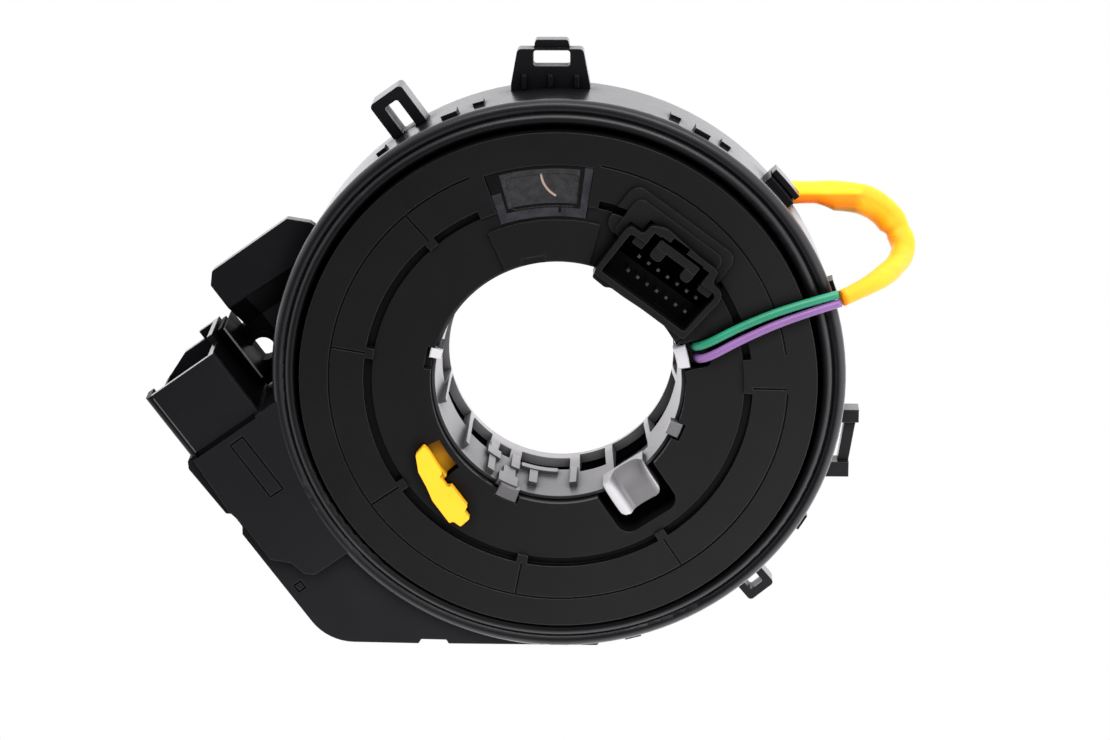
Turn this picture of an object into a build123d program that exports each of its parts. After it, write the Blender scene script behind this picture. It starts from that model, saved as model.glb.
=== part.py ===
"""Steering clock spring: a housing that stays with the column, a rotor that turns with the wheel,
and a flat ribbon cable wound between them with one return loop.

Frame: origin on the rotor's axis at the back plane, +Z out of the rotor's face, +Y towards the top
snap loop. All sizes are millimetres and all angles are degrees, counted from +X towards +Y.
"""

import os
from math import cos, radians, sin, tan

from build123d import *

# ---- heights above the back plane -------------------------------------------------------------
FACE_Z = 26.0  # rotor's flat face
FACE_STEP = 0.5  # the inner band of the face is lower by this
FACE_THICK = 2.2
RIM_Z = 24.0  # top of the rim's inner bead
RIM_EDGE_Z = 22.0  # outer edge of the rim
LIP_Z = 20.4  # underside of the rim's lip, over the drum plate
PARTING_Z = 8.0  # housing shell above, base cover below
FLOOR_THICK = 1.6
PLATE_TOP = 19.8  # top of the drum's flange plate
PLATE_THICK = 1.2
RING_FOOT_Z = 0.4  # hub ring's lowest edge
RING_TOP_Z = 23.0

# ---- radii about the axis ---------------------------------------------------------------------
SHELL_R = 60.5
WALL = 1.8
RIM_R = 61.4
SKIRT_R = 60.0
ROTOR_R = 55.2
GROOVE_GAP = 1.1  # open groove between rotor and rim
HUB_R = 27.2  # rotor's inner wall
DRUM_R = 29.0  # the ribbon winds on this
BORE_R = 24.6  # hub ring's bore at its foot
RING_WALL = 1.1
RUN_GAP = 0.4  # between parts that turn past each other
FIT = 0.15  # between parts that stay together

# ---- face marks and pockets -------------------------------------------------------------------
GROOVE_R = 39.7
GROOVE_WIDE = 1.8
GROOVE_DEEP = 1.5
LINE_R = 48.7
LINE_WIDE = 0.4
LINE_DEEP = 0.35
SPOKES = (130.5, 170.5, 214.3, 258.8, 303.0, 359.0)
SPOKE_GAP = 1.6  # degrees of solid face each side of a spoke

# ---- lens window ------------------------------------------------------------------------------
LENS_R = (36.9, 48.2)
LENS_A = (80.5, 108.5)
LENS_THICK = 1.2
LENS_DROP = 0.3
LEDGE = 0.9
PANE_INSET = 1.8
PANE_DEEP = 0.3

# ---- rotor socket: s runs along the pin rows, t points away from the axis ----------------------
SOCKET_A = 53.0
SOCKET_S = (-9.3, 14.8)
SOCKET_T = (24.7, 38.2)
BULGE_S = (-6.2, 10.6)
BULGE_T = 41.0
SOCKET_TOP = 29.0
SOCKET_WALL = 1.1
SOCKET_FLOOR = 1.2
PIN_COUNT = 7
PIN_PITCH = 2.5
PIN_S0 = -3.4
PIN_T = (29.35, 33.2)
PIN = 0.64
PIN_TOP = 26.4
COLLAR_Z = 27.2
COLLAR_T = 45.6
COLLAR_S = (-13.5, 13.2)

# ---- tail and harness connector: u runs along the step line, v along the connector's mouth -----
TAIL_A = 35.5
TAIL_TOP = 21.6
PLATEAU_Z = 23.4
TAIL_EDGE_U = -77.2
STEP_V = 31.0
BOX_U = (-75.6, -57.1)
BOX_V = (31.0, 47.3)
BOX_Z = (0.6, 22.4)
BOX_WALL = 1.5
BOX_STEP_U = -62.5  # right part of the mouth stands out further
BOX_STEP_V = 49.3
HARNESS_PINS = 6
HARNESS_PITCH = 2.2
HARNESS_Z = (8.5, 14.5)

# ---- mounting lug and guard plate --------------------------------------------------------------
LUG_U = -51.9
LUG_V = 38.9
LUG_HOLE_R = 2.6
LUG_BOSS_R = 4.0
LUG_Z = (2.0, 6.0)
TAIL_FLOOR = 1.6
RIB_COUNT = 20
RIB_RING_R = 45.5
BACK_RIB_Z = 0.6
GUARD_Z = (6.8, 9.0)
GUARD_V = (51.3, 59.8)

# ---- hub ring's fork ----------------------------------------------------------------------------
FORK_A = 303.5
FORK_WIDE = 10.2
FORK_R = 33.4
FORK_WALL = 1.2
FORK_TOP = 25.4
POCKET_WIDE = 14.4
POCKET_R = 36.9

# ---- ribbon, return loop and its carrier --------------------------------------------------------
FILM = 0.2
RIBBON = 0.35
LOOP_A = 101.0
COIL_STEP = 0.5  # radius gained in half a turn
COIL_HALVES = 6
INNER_COIL_R = DRUM_R + RIBBON / 2 + COIL_STEP * COIL_HALVES
OUTER_COIL_R = 50.3
RIBBON_OUT_A = 180.0  # where its straight end leaves the outer coil
RIBBON_RUN = 40.0  # straight end, into the tail
RIBBON_SLOT_A = (200.0, 212.0)
CARRIER_R = (34.2, 48.3)
CARRIER_Z = (PARTING_Z + FILM, PARTING_Z + FILM + 0.6)
RIBBON_Z = (CARRIER_Z[1], 18.0)
POST_R = 2.6
ROLLER_R = 6.6
PIVOT_R = 1.6
PIVOT_GAP = 0.05

# ---- lock key ------------------------------------------------------------------------------------
KEY_A = (207.5, 221.0)
KEY_R = (28.9, 33.6)
KEY_Z = (PLATE_TOP, 26.0)
KEY_HANDLE_Z = (26.0, 28.2)

# ---- leads ---------------------------------------------------------------------------------------
WIRE_D = 1.8
SLEEVE_D = 5.0
CORD_SHARE = 0.45  # of the shorter run, for the arc at each point of a route
GREEN_ROUTE = (
    (28.9, 8.0, 22.4),
    (28.9, 8.0, 25.0),
    (31.9, 9.6, 27.0),
    (38.6, 13.4, 27.2),
    (49.0, 17.8, 27.2),
    (59.25, 20.39, 26.2),
)
PURPLE_ROUTE = (
    (29.6, 5.4, 22.4),
    (29.6, 5.4, 25.0),
    (32.4, 6.7, 27.0),
    (38.8, 10.5, 27.2),
    (49.2, 15.4, 27.2),
    (59.86, 18.57, 26.2),
)
SLEEVE_ROUTE = (
    (60.0, 19.6, 26.2),
    (66.6, 21.6, 22.6),
    (71.8, 22.4, 13.0),
    (74.4, 24.6, 5.2),
    (72.8, 30.2, 2.8),
    (67.4, 35.0, 2.7),
    (60.6, 36.6, 2.9),
    (53.0, 36.2, 3.2),
    (44.6, 36.4, 3.4),
    (37.0, 36.4, 3.4),
)
PLUG = (17.0, 9.6, 6.0)


# ---- helpers --------------------------------------------------------------------------------------
def polar(radius, angle):
    """A point in the plane from its radius and angle."""
    return (radius * cos(radians(angle)), radius * sin(radians(angle)))


def tail_xy(u, v):
    """A point of the tail, from its own axes to X and Y."""
    c, s = cos(radians(TAIL_A)), sin(radians(TAIL_A))
    return (u * c - v * s, u * s + v * c)


def socket_xy(s, t):
    """A point of the rotor socket, from its own axes to X and Y."""
    c, n = cos(radians(SOCKET_A)), sin(radians(SOCKET_A))
    return (s * n + t * c, -s * c + t * n)


def lift(sketch, z_low, z_high):
    """The sketch made a solid between two heights."""
    return Pos(0, 0, z_low) * extrude(sketch, z_high - z_low)


def ring(r_in, r_out, z_low, z_high):
    """A plain ring about the axis."""
    return lift(Circle(r_out) - Circle(r_in), z_low, z_high)


def sector(r_in, r_out, a_low, a_high):
    """The flat sector between two radii and two angles."""
    outer = CenterArc((0, 0), r_out, a_low, a_high - a_low)
    inner = CenterArc((0, 0), r_in, a_low, a_high - a_low)
    sides = [Line(inner @ 0, outer @ 0), Line(inner @ 1, outer @ 1)]
    return make_face([outer, inner, *sides])


def rounded(points, radius):
    """A flat polygon with rounded corners: one radius, or one for each point."""
    return make_face(FilletPolyline(*points, radius=radius, close=True).edges())


def tail_block(u, v, z, radius=0.0):
    """A block in the tail's own axes, from (low, high) pairs."""
    corners = [tail_xy(u[0], v[0]), tail_xy(u[1], v[0]), tail_xy(u[1], v[1]), tail_xy(u[0], v[1])]
    return lift(rounded(corners, radius), z[0], z[1])


def socket_block(s, t, z, radius=0.0):
    """A block in the socket's own axes, from (low, high) pairs."""
    corners = [socket_xy(s[0], t[0]), socket_xy(s[1], t[0]), socket_xy(s[1], t[1]), socket_xy(s[0], t[1])]
    return lift(rounded(corners, radius), z[0], z[1])


def radial_block(angle, r_in, r_out, wide, z_low, z_high, radius=0.0):
    """A straight-sided block that runs along a radius."""
    flat = Pos((r_in + r_out) / 2, 0) * RectangleRounded(r_out - r_in, wide, radius) if radius else (
        Pos((r_in + r_out) / 2, 0) * Rectangle(r_out - r_in, wide)
    )
    return Rot(0, 0, angle) * lift(flat, z_low, z_high)


def one_solid(shape):
    """The shape as a plain part, ready to be written."""
    return Part() + shape


# ---- housing shell ---------------------------------------------------------------------------------
def drum_wall():
    """Side wall and beaded rim, turned about the axis."""
    lip_r = ROTOR_R + GROOVE_GAP
    inner_r = SHELL_R - WALL
    dip_r = (lip_r + RIM_R) / 2 - 0.2
    dip_z = RIM_Z - 1.0
    edges = [
        Line((inner_r, PARTING_Z), (SHELL_R, PARTING_Z)),
        Line((SHELL_R, PARTING_Z), (SHELL_R, RIM_EDGE_Z - 1.0)),
        Line((SHELL_R, RIM_EDGE_Z - 1.0), (RIM_R, RIM_EDGE_Z - 0.4)),
        Line((RIM_R, RIM_EDGE_Z - 0.4), (RIM_R, RIM_EDGE_Z)),
        ThreePointArc((RIM_R, RIM_EDGE_Z), (RIM_R - 0.7, dip_z + 0.35), (dip_r, dip_z)),
        ThreePointArc((dip_r, dip_z), ((dip_r + lip_r) / 2, RIM_Z), (lip_r, RIM_Z - 0.5)),
        Line((lip_r, RIM_Z - 0.5), (lip_r, LIP_Z)),
        Line((lip_r, LIP_Z), (inner_r, LIP_Z)),
        Line((inner_r, LIP_Z), (inner_r, PARTING_Z)),
    ]
    profile = Plane.XZ * make_face(edges)
    return revolve(profile, Axis.Z)


def tail_outline(inset=0.0):
    """Outline of the tail, from the step line round its outer edge to the bottom of the drum."""
    edge = TAIL_EDGE_U
    corners = [
        (*tail_xy(-45.0, STEP_V), 0.0),
        (*tail_xy(edge + 0.6, STEP_V), 0.8),
        (*tail_xy(edge - 0.4, STEP_V - 1.7), 0.8),
        (*tail_xy(edge, 16.5), 0.3),
        (*tail_xy(edge + 1.1, 15.6), 0.5),
        (*tail_xy(edge + 1.1, 12.1), 0.5),
        (*tail_xy(edge, 10.6), 0.3),
        (-51.0, -61.2, 11.5),
        (-31.0, -61.5, 0.4),
        (-30.4, -60.5, 0.3),
        (-24.9, -60.6, 0.3),
        (-24.4, -61.5, 0.4),
        (8.4, -61.6, 0.6),
        (9.6, -57.0, 0.0),
        (0.0, -50.0, 0.0),
        (-40.0, -30.0, 0.0),
    ]
    outline = rounded([(x, y) for x, y, _ in corners], [r for _, _, r in corners])
    return offset(outline, -inset, kind=Kind.INTERSECTION) if inset else outline


def plateau():
    """The raised part of the tail's top."""
    corners = [
        tail_xy(-45.0, STEP_V),
        tail_xy(-75.0, STEP_V),
        tail_xy(-75.9, 17.0),
        tail_xy(-75.2, 13.0),
        tail_xy(-75.2, 2.8),
        tail_xy(-72.0, -0.4),
        tail_xy(-71.2, -4.0),
        tail_xy(-69.4, -5.6),
        tail_xy(-58.0, -5.6),
        tail_xy(-45.0, 5.0),
    ]
    return rounded(corners, [0, 0.8, 2.0, 2.0, 1.5, 1.5, 1.5, 2.0, 0, 0])


def shroud():
    """Harness connector's open box, its mouth towards +v."""
    body = tail_block(BOX_U, BOX_V, BOX_Z)
    long_edges = body.edges().filter_by(lambda e: abs(e.tangent_at(0.5).Z) < 0.01)
    left = long_edges.filter_by(lambda e: e.center().Z > BOX_Z[1] - 0.1).sort_by_distance(
        (*tail_xy(BOX_U[0], sum(BOX_V) / 2), BOX_Z[1])
    )[0]
    body = fillet(left, 2.0)
    step = (BOX_STEP_U, BOX_U[1])
    body += tail_block(step, (BOX_V[1] - 1, BOX_STEP_V), (BOX_Z[0], BOX_Z[1] - 9.0))
    inner_u = (BOX_U[0] + BOX_WALL, BOX_U[1] - BOX_WALL)
    inner_z = (BOX_Z[0] + BOX_WALL, BOX_Z[1] - BOX_WALL)
    body -= tail_block(inner_u, (BOX_V[0] + 2.0, BOX_STEP_V + 1), inner_z)
    lip_cut = rounded(
        [
            (*tail_xy(BOX_U[0] - 1, BOX_V[1] - 3.4),),
            (*tail_xy(BOX_U[0] - 1, BOX_V[1] + 1),),
            (*tail_xy(BOX_STEP_U - 3, BOX_V[1] + 1),),
        ],
        0,
    )
    body -= lift(lip_cut, BOX_Z[0] - 1, BOX_Z[1] - 6)
    return body


def ribbon_slot():
    """Way through the drum wall for the ribbon's outer end."""
    return lift(sector(SHELL_R - WALL - 2, SHELL_R + 2, *RIBBON_SLOT_A), PARTING_Z - 1, RIBBON_Z[1] + 1.2)


def wire_hook():
    """Hook on the side wall that the sleeve passes under."""
    arm = lift(sector(SHELL_R - 0.5, SHELL_R + 3.2, 36.5, 43.5), PARTING_Z + 0.2, PARTING_Z + 2.2)
    root = lift(sector(SHELL_R - 0.5, SHELL_R + 1.6, 36.5, 43.5), PARTING_Z + 0.2, PARTING_Z + 6.5)
    tip = lift(sector(SHELL_R + 1.9, SHELL_R + 3.2, 36.5, 43.5), PARTING_Z + 0.2, PARTING_Z + 4.5)
    return arm + root + tip


def wall_catches():
    """Snap catches and small bumps on the side wall."""
    catches = Part()
    for angle in (111.5, 60.5, 19.0, 328.0, 285.0):
        catches += radial_block(angle, SHELL_R - 0.6, SHELL_R + 1.7, 3.6, 17.0, 21.0)
        catches -= radial_block(angle, SHELL_R + 0.2, SHELL_R + 0.9, 2.2, 16.0, 20.0)
    for angle in (106.0, 66.0, 54.5, 128.0):
        catches += radial_block(angle, SHELL_R - 0.6, SHELL_R + 0.8, 2.4, 12.0, 15.0)
    return catches


def housing_shell():
    """Upper housing: rim, side wall, tail top and harness connector, moulded as one."""
    chamber = lift(Circle(SHELL_R - WALL), PARTING_Z - 1, FACE_Z)
    tail = lift(tail_outline(), PARTING_Z, TAIL_TOP)
    tail += lift(plateau(), TAIL_TOP - 0.1, PLATEAU_Z)
    hollow = lift(tail_outline(WALL), PARTING_Z - 1, TAIL_TOP - WALL)
    hollow -= lift(Circle(SHELL_R), PARTING_Z - 1, FACE_Z)
    tail = tail - hollow - chamber
    tail -= lift(Circle(SHELL_R - 0.3), PARTING_Z - 1, FACE_Z)
    mark = tail_block((-66.6, -62.8), (14.2, 29.0), (PLATEAU_Z - LINE_DEEP, PLATEAU_Z + 1))
    mark -= tail_block((-66.2, -63.2), (14.6, 28.6), (0, PLATEAU_Z + 1))
    stud = tail_block((-75.4, -73.2), (-7.4, -5.2), (TAIL_TOP - LINE_DEEP, TAIL_TOP + 1))
    stud -= tail_block((-75.0, -73.6), (-7.0, -5.6), (0, TAIL_TOP + 1))
    body = drum_wall() + tail + shroud()
    body = body - mark - stud - ribbon_slot() + wire_hook() + wall_catches()
    step_line = tail_block((-74.0, -58.0), (STEP_V - 0.5, STEP_V + 0.5), (PLATEAU_Z - 1.4, PLATEAU_Z + 1))
    body -= step_line
    for pin in harness_pin_blocks():
        body -= pin
    return one_solid(body)


# ---- base cover ---------------------------------------------------------------------------------------
def snap_loop(angle, centre_x, centre_y, wide, reach, bar, z_low, z_high):
    """A flat loop that stands out from the wall, with a window for a catch to snap into."""
    outer = Pos(reach / 2, 0) * RectangleRounded(reach, wide, 0.9)
    window = Pos((reach - 2 * bar) / 2 + bar * 0.9, 0) * RectangleRounded(reach - 2 * bar, wide - 2 * bar, 0.5)
    return Pos(centre_x, centre_y) * Rot(0, 0, angle) * lift(outer - window, z_low, z_high)


def top_loop():
    """Snap loop over the top: a wide tongue, a narrower end bar and three small ribs at its root."""
    corners = [(-10.2, 58.0), (6.6, 58.0), (6.6, 61.2), (5.2, 68.8), (-8.8, 68.8), (-10.2, 61.2)]
    tongue = lift(rounded(corners, [0, 0, 0.6, 1.0, 1.0, 0.6]), PARTING_Z - 3.2, PARTING_Z)
    bar = lift(rounded([(-5.6, 67.0), (2.6, 67.0), (2.0, 70.6), (-5.0, 70.6)], [0, 0, 0.7, 0.7]), 4.2, 7.0)
    window = Pos(-1.5, 66.8) * lift(RectangleRounded(7.8, 3.4, 0.6), 0, PARTING_Z + 1)
    ribs = Part()
    for x in (-7.4, -1.8, 3.8):
        ribs += Pos(x, 61.6, PARTING_Z - 0.1) * Box(0.9, 3.2, 1.0, align=(Align.CENTER, Align.CENTER, Align.MIN))
    return tongue + bar - window + ribs


def upper_left_loop():
    """Snap loop beside the guard plate, deep from front to back."""
    loop = tail_block((0.1, 8.3), (57.0, 69.6), (4.0, 10.0), 1.0)
    loop -= tail_block((2.5, 5.9), (60.4, 67.4), (0.0, 12.0), 0.6)
    return loop


def right_loop():
    """Snap loop on the right: two blocks joined by an outer bar."""
    loop = Pos(61.2, -12.9) * lift(Rectangle(7.8, 2.9), 3.6, PARTING_Z)
    loop += Pos(60.3, -25.2) * lift(Rectangle(5.6, 3.4), 3.6, PARTING_Z)
    loop += lift(rounded([(62.3, -13.0), (64.6, -13.6), (62.6, -26.0), (60.2, -26.0)], 0), 3.6, 7.0)
    return loop


def guard_plate():
    """Flat plate over the loom's exit, sloping down to the mounting lug."""
    low, high = GUARD_V
    corners = [
        tail_xy(-52.0, low),
        tail_xy(-52.0, high - 2.4),
        tail_xy(-49.8, high),
        tail_xy(-29.4, high),
        tail_xy(-25.8, high - 3.6),
        tail_xy(-24.0, 50.0),
    ]
    plate = lift(rounded(corners, [0, 0.8, 0.8, 0.8, 0, 0]), GUARD_Z[0], GUARD_Z[1])
    slope = make_face(Polyline((low, GUARD_Z[1]), (low, GUARD_Z[0]), (low - 6.0, LUG_Z[1] - 2.0), (low - 6.0, LUG_Z[1]), close=True))
    origin = tail_xy(-52.0, 0)
    side = Plane(origin=(*origin, 0), x_dir=(*tail_xy(0, 1), 0), z_dir=(*tail_xy(1, 0), 0))
    ramp = extrude(side * slope, 18.0)
    return plate + ramp


def lug():
    """Screw lug beside the connector, with a boss round its hole and a thin wall to the connector."""
    plate = tail_block((-56.6, -40.0), (31.6, GUARD_V[0] - 5.9), LUG_Z, 0.0)
    centre = tail_xy(LUG_U, LUG_V)
    boss = Pos(*centre) * lift(Circle(LUG_BOSS_R), LUG_Z[0], LUG_Z[1] + 0.8)
    wall = tail_block((-56.4, -55.4), (33.0, 48.8), (LUG_Z[0], 11.0))
    hole = Pos(*centre) * lift(Circle(LUG_HOLE_R), -1, 20)
    return plate + boss + wall - hole


def plug_bay(grow=0.0):
    """Flat outline of the bay where the plug lies, with a channel for the sleeve."""
    end = SLEEVE_ROUTE[-1]
    high = end[1] + PLUG[1] / 2 + 1.6 + grow
    low = end[1] - PLUG[1] / 2 - 1.6 - grow
    bay = [(end[0] - PLUG[0] - 2.0 - grow, low), (end[0] + 2.0 + grow, high)]
    flat = rounded([bay[0], (bay[1][0], low), bay[1], (bay[0][0], high)], 1.0)
    half = SLEEVE_D / 2 + 1.1 + grow
    flat += rounded([(end[0], end[1] - half), (66.0, end[1] - half), (66.0, end[1] + half), (end[0], end[1] + half)], 0)
    return flat


def back_ribs():
    """Lattice of ribs on the back of the floor, cleared from the plug's bay, which has a wall of its own."""
    top = PARTING_Z - FLOOR_THICK + 0.1
    ribs = ring(RIB_RING_R - 0.6, RIB_RING_R + 0.6, BACK_RIB_Z, top)
    for i in range(RIB_COUNT):
        ribs += radial_block(360 * i / RIB_COUNT + 9, 32.6, SKIRT_R - WALL + 0.3, 1.2, BACK_RIB_Z, top)
    wall = lift(plug_bay(1.0), BACK_RIB_Z, top) & lift(Circle(SKIRT_R - 0.5), 0, top)
    return ribs + wall


def base_tail():
    """Lower half of the tail: floor and side wall."""
    floor = lift(tail_outline(0.4), 0.0, TAIL_FLOOR)
    wall = lift(tail_outline(0.4), 0.0, PARTING_Z)
    wall -= lift(tail_outline(0.4 + WALL), TAIL_FLOOR, PARTING_Z + 1)
    cut = lift(Circle(SKIRT_R - 0.3), -1, PARTING_Z + 1)
    return floor + wall - cut


def base_cover():
    """Lower housing: floor, skirt, snap loops, guard plate, lug and tail floor, moulded as one."""
    floor_z = PARTING_Z - FLOOR_THICK
    body = ring(HUB_R + RUN_GAP, SKIRT_R, floor_z, PARTING_Z)
    body += ring(SKIRT_R - WALL, SKIRT_R, 0, PARTING_Z)
    body += ring(SHELL_R - WALL - FIT - 1.4, SHELL_R - WALL - FIT, PARTING_Z - 0.1, PARTING_Z + 1.4)
    body += ring(31.6, 33.0, 0, PARTING_Z)
    body += back_ribs() + base_tail()
    inner = lift(Circle(SKIRT_R - 1.0), -1, PARTING_Z) + lift(Circle(SHELL_R + FIT), PARTING_Z, PARTING_Z + 4)
    outside = top_loop() + upper_left_loop() + right_loop() + guard_plate() + lug()
    outside += snap_loop(-50.5, *polar(57.5, -50.5), 6.8, 12.6, 1.7, 3.8, PARTING_Z)
    body += outside - inner
    body -= tail_block((BOX_U[0] - 2, BOX_U[1] + 0.6), (STEP_V - 0.2, 60), (-1, 12))
    body -= lift(sector(SHELL_R - WALL - 4, SHELL_R - WALL + 0.2, *RIBBON_SLOT_A), PARTING_Z, PARTING_Z + 3)
    body -= lift(plug_bay(), -1, PARTING_Z - FLOOR_THICK)
    return one_solid(body)


# ---- rotor -----------------------------------------------------------------------------------------------
def lens_opening(r_grow=0.0, a_grow=0.0):
    """Flat outline of the lens window."""
    return sector(LENS_R[0] - r_grow, LENS_R[1] + r_grow, LENS_A[0] - a_grow, LENS_A[1] + a_grow)


def fork_pocket(inset=0.0):
    """Flat outline of the pocket round the fork."""
    length = POCKET_R - inset - (HUB_R - 2)
    flat = Pos(HUB_R - 2 + length / 2, 0) * Rectangle(length, POCKET_WIDE - 2 * inset)
    outer = flat.vertices().group_by(Axis.X)[-1]
    return Rot(0, 0, FORK_A) * fillet(outer, 3.0 - inset / 2)


def face_marks():
    """Shallow circle and spoke lines, and the deeper arc grooves between the spokes."""
    low, high = FACE_Z - LINE_DEEP, FACE_Z + 1
    cuts = lift(sector(LINE_R, LINE_R + LINE_WIDE, 112.0, 358.0), low, high)
    cuts += lift(sector(LINE_R, LINE_R + LINE_WIDE, 8.0, 79.0), low, high)
    for angle in SPOKES:
        cuts += radial_block(angle, GROOVE_R + GROOVE_WIDE, LINE_R, LINE_WIDE, low, high)
    groove_low = FACE_Z - GROOVE_DEEP
    stops = (112.0, *SPOKES)
    for first, last in zip(stops, stops[1:]):
        arc = sector(GROOVE_R, GROOVE_R + GROOVE_WIDE, first + SPOKE_GAP, last - SPOKE_GAP)
        cuts += lift(arc, groove_low, high)
    for first, last in ((8.0, 34.0), (69.0, 77.5)):
        cuts += lift(sector(GROOVE_R, GROOVE_R + GROOVE_WIDE, first, last), groove_low - 0.4, high)
    return cuts


def collar():
    """Stepped platform outside the socket."""
    low = socket_block(COLLAR_S, (SOCKET_T[1] - 4, COLLAR_T), (FACE_Z - 0.6, COLLAR_Z - 0.5), 2.6)
    high = socket_block((COLLAR_S[0] + 2.2, COLLAR_S[1] - 2.0), (SOCKET_T[1] - 4, COLLAR_T - 1.8), (FACE_Z - 0.6, COLLAR_Z), 2.0)
    return low + high


def pad():
    """Raised oval pad between the lens and the hub."""
    flat = sector(HUB_R + 0.2, LENS_R[0] - 0.5, 75.5, 113.5)
    return lift(flat, FACE_Z - FACE_STEP - 0.1, FACE_Z)


def rotor_cover():
    """The rotor's face: a shallow dished disc with its rim wall and hub wall."""
    under = FACE_Z - FACE_THICK
    body = ring(HUB_R, ROTOR_R, under, FACE_Z)
    body -= ring(HUB_R - 1, GROOVE_R, FACE_Z - FACE_STEP, FACE_Z + 1)
    body += ring(ROTOR_R - 1.6, ROTOR_R, PLATE_TOP, under + 0.1)
    body += ring(HUB_R, HUB_R + 1.2, PLATE_TOP, under + 0.1)
    body += pad() + collar()
    pocket_wall = lift(fork_pocket(-1.2), PLATE_TOP, under + 0.1) - lift(Circle(HUB_R + 0.6), 0, 40)
    body += pocket_wall
    body -= lift(fork_pocket(), 0, 40)
    body -= lift(lens_opening(-LEDGE, -LEDGE * 1.2), 0, 40)
    body -= lift(lens_opening(), FACE_Z - LENS_THICK - LENS_DROP, FACE_Z + 1)
    body -= socket_opening()
    body -= face_marks()
    body -= lift(sector(KEY_R[0] - 0.4, KEY_R[1] + 0.4, KEY_A[0] - 0.8, KEY_A[1] + 0.8), 0, 40)
    body -= radial_block(12.8, HUB_R + 0.3, 33.0, 6.2, 0, 40, 1.5)
    for angle, wide in HOOKS:
        body -= radial_block(angle, HUB_R - 2, HUB_R + 1.5, wide + 0.6, FACE_Z - HOOK_DEEP, FACE_Z + 1)
    return one_solid(body)


def rotor_drum():
    """Drum that the ribbon winds on, with a flange plate caught under the rim's lip."""
    edge = SHELL_R - WALL - 1.0
    body = ring(HUB_R, DRUM_R, PARTING_Z + RUN_GAP, PLATE_TOP)
    body += ring(HUB_R, edge, PLATE_TOP - PLATE_THICK, PLATE_TOP)
    body -= lift(lens_opening(-0.4, -0.6), 0, PLATE_TOP + 1)
    body -= lift(sector(KEY_R[0] + 0.4, KEY_R[1], KEY_A[0] + 2, KEY_A[1] - 2), PLATE_TOP - 3, PLATE_TOP + 1)
    for s in socket_pin_places():
        body -= socket_block((s[0] - 0.8, s[0] + 0.8), (s[1] - 0.8, s[1] + 0.8), (PLATE_TOP - 2, PLATE_TOP + 1))
    body -= lift(fork_pocket(1.0), PLATE_TOP - 0.3, PLATE_TOP + 1) - lift(Circle(HUB_R), 0, 40)
    return one_solid(body)


HOOK_DEEP = 1.4  # seat of the ring's hooks below the face
HOOKS = ((246.5, 4.6), (337.5, 3.4), (168.5, 4.4), (12.6, 5.6), (100.0, 4.6))


def ring_windows():
    """Openings in the lower half of the hub ring: (start, end, low, high)."""
    spans = (
        (20.0, 56.0, 4.0, 12.0),
        (60.0, 96.0, 4.0, 12.0),
        (104.0, 140.0, 4.0, 12.0),
        (144.0, 181.5, 4.0, 11.0),
        (184.5, 219.0, 4.0, 10.0),
        (223.0, 236.0, 3.4, 11.5),
        (239.5, 243.5, 4.0, 9.0),
        (249.5, 274.5, 3.6, 9.0),
        (279.5, 293.0, 3.6, 10.5),
        (297.0, 317.5, 3.6, 15.5),
        (320.5, 350.0, 4.0, 9.5),
        (353.5, 368.0, 4.0, 11.0),
    )
    cuts = Part()
    for first, last, low, high in spans:
        cuts += lift(sector(BORE_R - 2, HUB_R + 1, first, last), low, high)
    return cuts


def ring_wall():
    """Wall of the hub ring: a straight foot, then a slow taper outwards to its top."""
    out = HUB_R - FIT
    edges = [
        (BORE_R, RING_FOOT_Z),
        (out, RING_FOOT_Z),
        (out, RING_TOP_Z),
        (out - 0.7, RING_TOP_Z),
        (out - RING_WALL - 0.1, 13.0),
        (BORE_R, 3.6),
    ]
    profile = Plane.XZ * make_face(Polyline(*edges, close=True))
    return revolve(profile, Axis.Z)


def fork():
    """U-shaped drive fork: a sloping floor and two side walls, open towards the axis."""
    top = FORK_TOP
    side = [(25.4, 18.0), (26.5, 20.1), (FORK_R, 21.2), (FORK_R, 23.4), (32.0, top), (27.0, top), (25.4, 23.0)]
    profile = Plane.XZ * make_face(Polyline(*side, close=True))
    block = extrude(profile, FORK_WIDE / 2, both=True)
    floor = [(24.0, 18.6), (27.4, 22.0), (FORK_R + 1, 22.6), (FORK_R + 1, 40.0), (24.0, 40.0)]
    channel = Plane.XZ * make_face(Polyline(*floor, close=True))
    block -= extrude(channel, FORK_WIDE / 2 - FORK_WALL, both=True)
    return Rot(0, 0, FORK_A) * block


def ring_hooks():
    """Snap hooks that reach over the rotor's hub edge, each with a strip down the wall."""
    hooks = Part()
    for angle, wide in HOOKS:
        hooks += radial_block(angle, BORE_R + 1.1, HUB_R - FIT, wide - 1.0, 12.0, FACE_Z - 1.0)
        hooks += radial_block(angle, BORE_R + 1.5, HUB_R + 1.2, wide, FACE_Z - HOOK_DEEP, FACE_Z - 0.1)
    return hooks


def tee_latch():
    """T-shaped and plain ribs on the ring's inner face."""
    bars = lift(sector(BORE_R + 0.2, BORE_R + 1.4, 250.5, 264.0), 9.4, 11.6)
    bars += lift(sector(BORE_R + 0.4, BORE_R + 1.6, 254.0, 257.4), 11.4, 17.5)
    bars += lift(sector(BORE_R + 0.3, BORE_R + 1.5, 276.0, 278.2), 9.0, 17.0)
    bars += lift(sector(BORE_R + 0.3, BORE_R + 1.5, 226.0, 228.2), 9.0, 19.0)
    return bars


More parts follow.
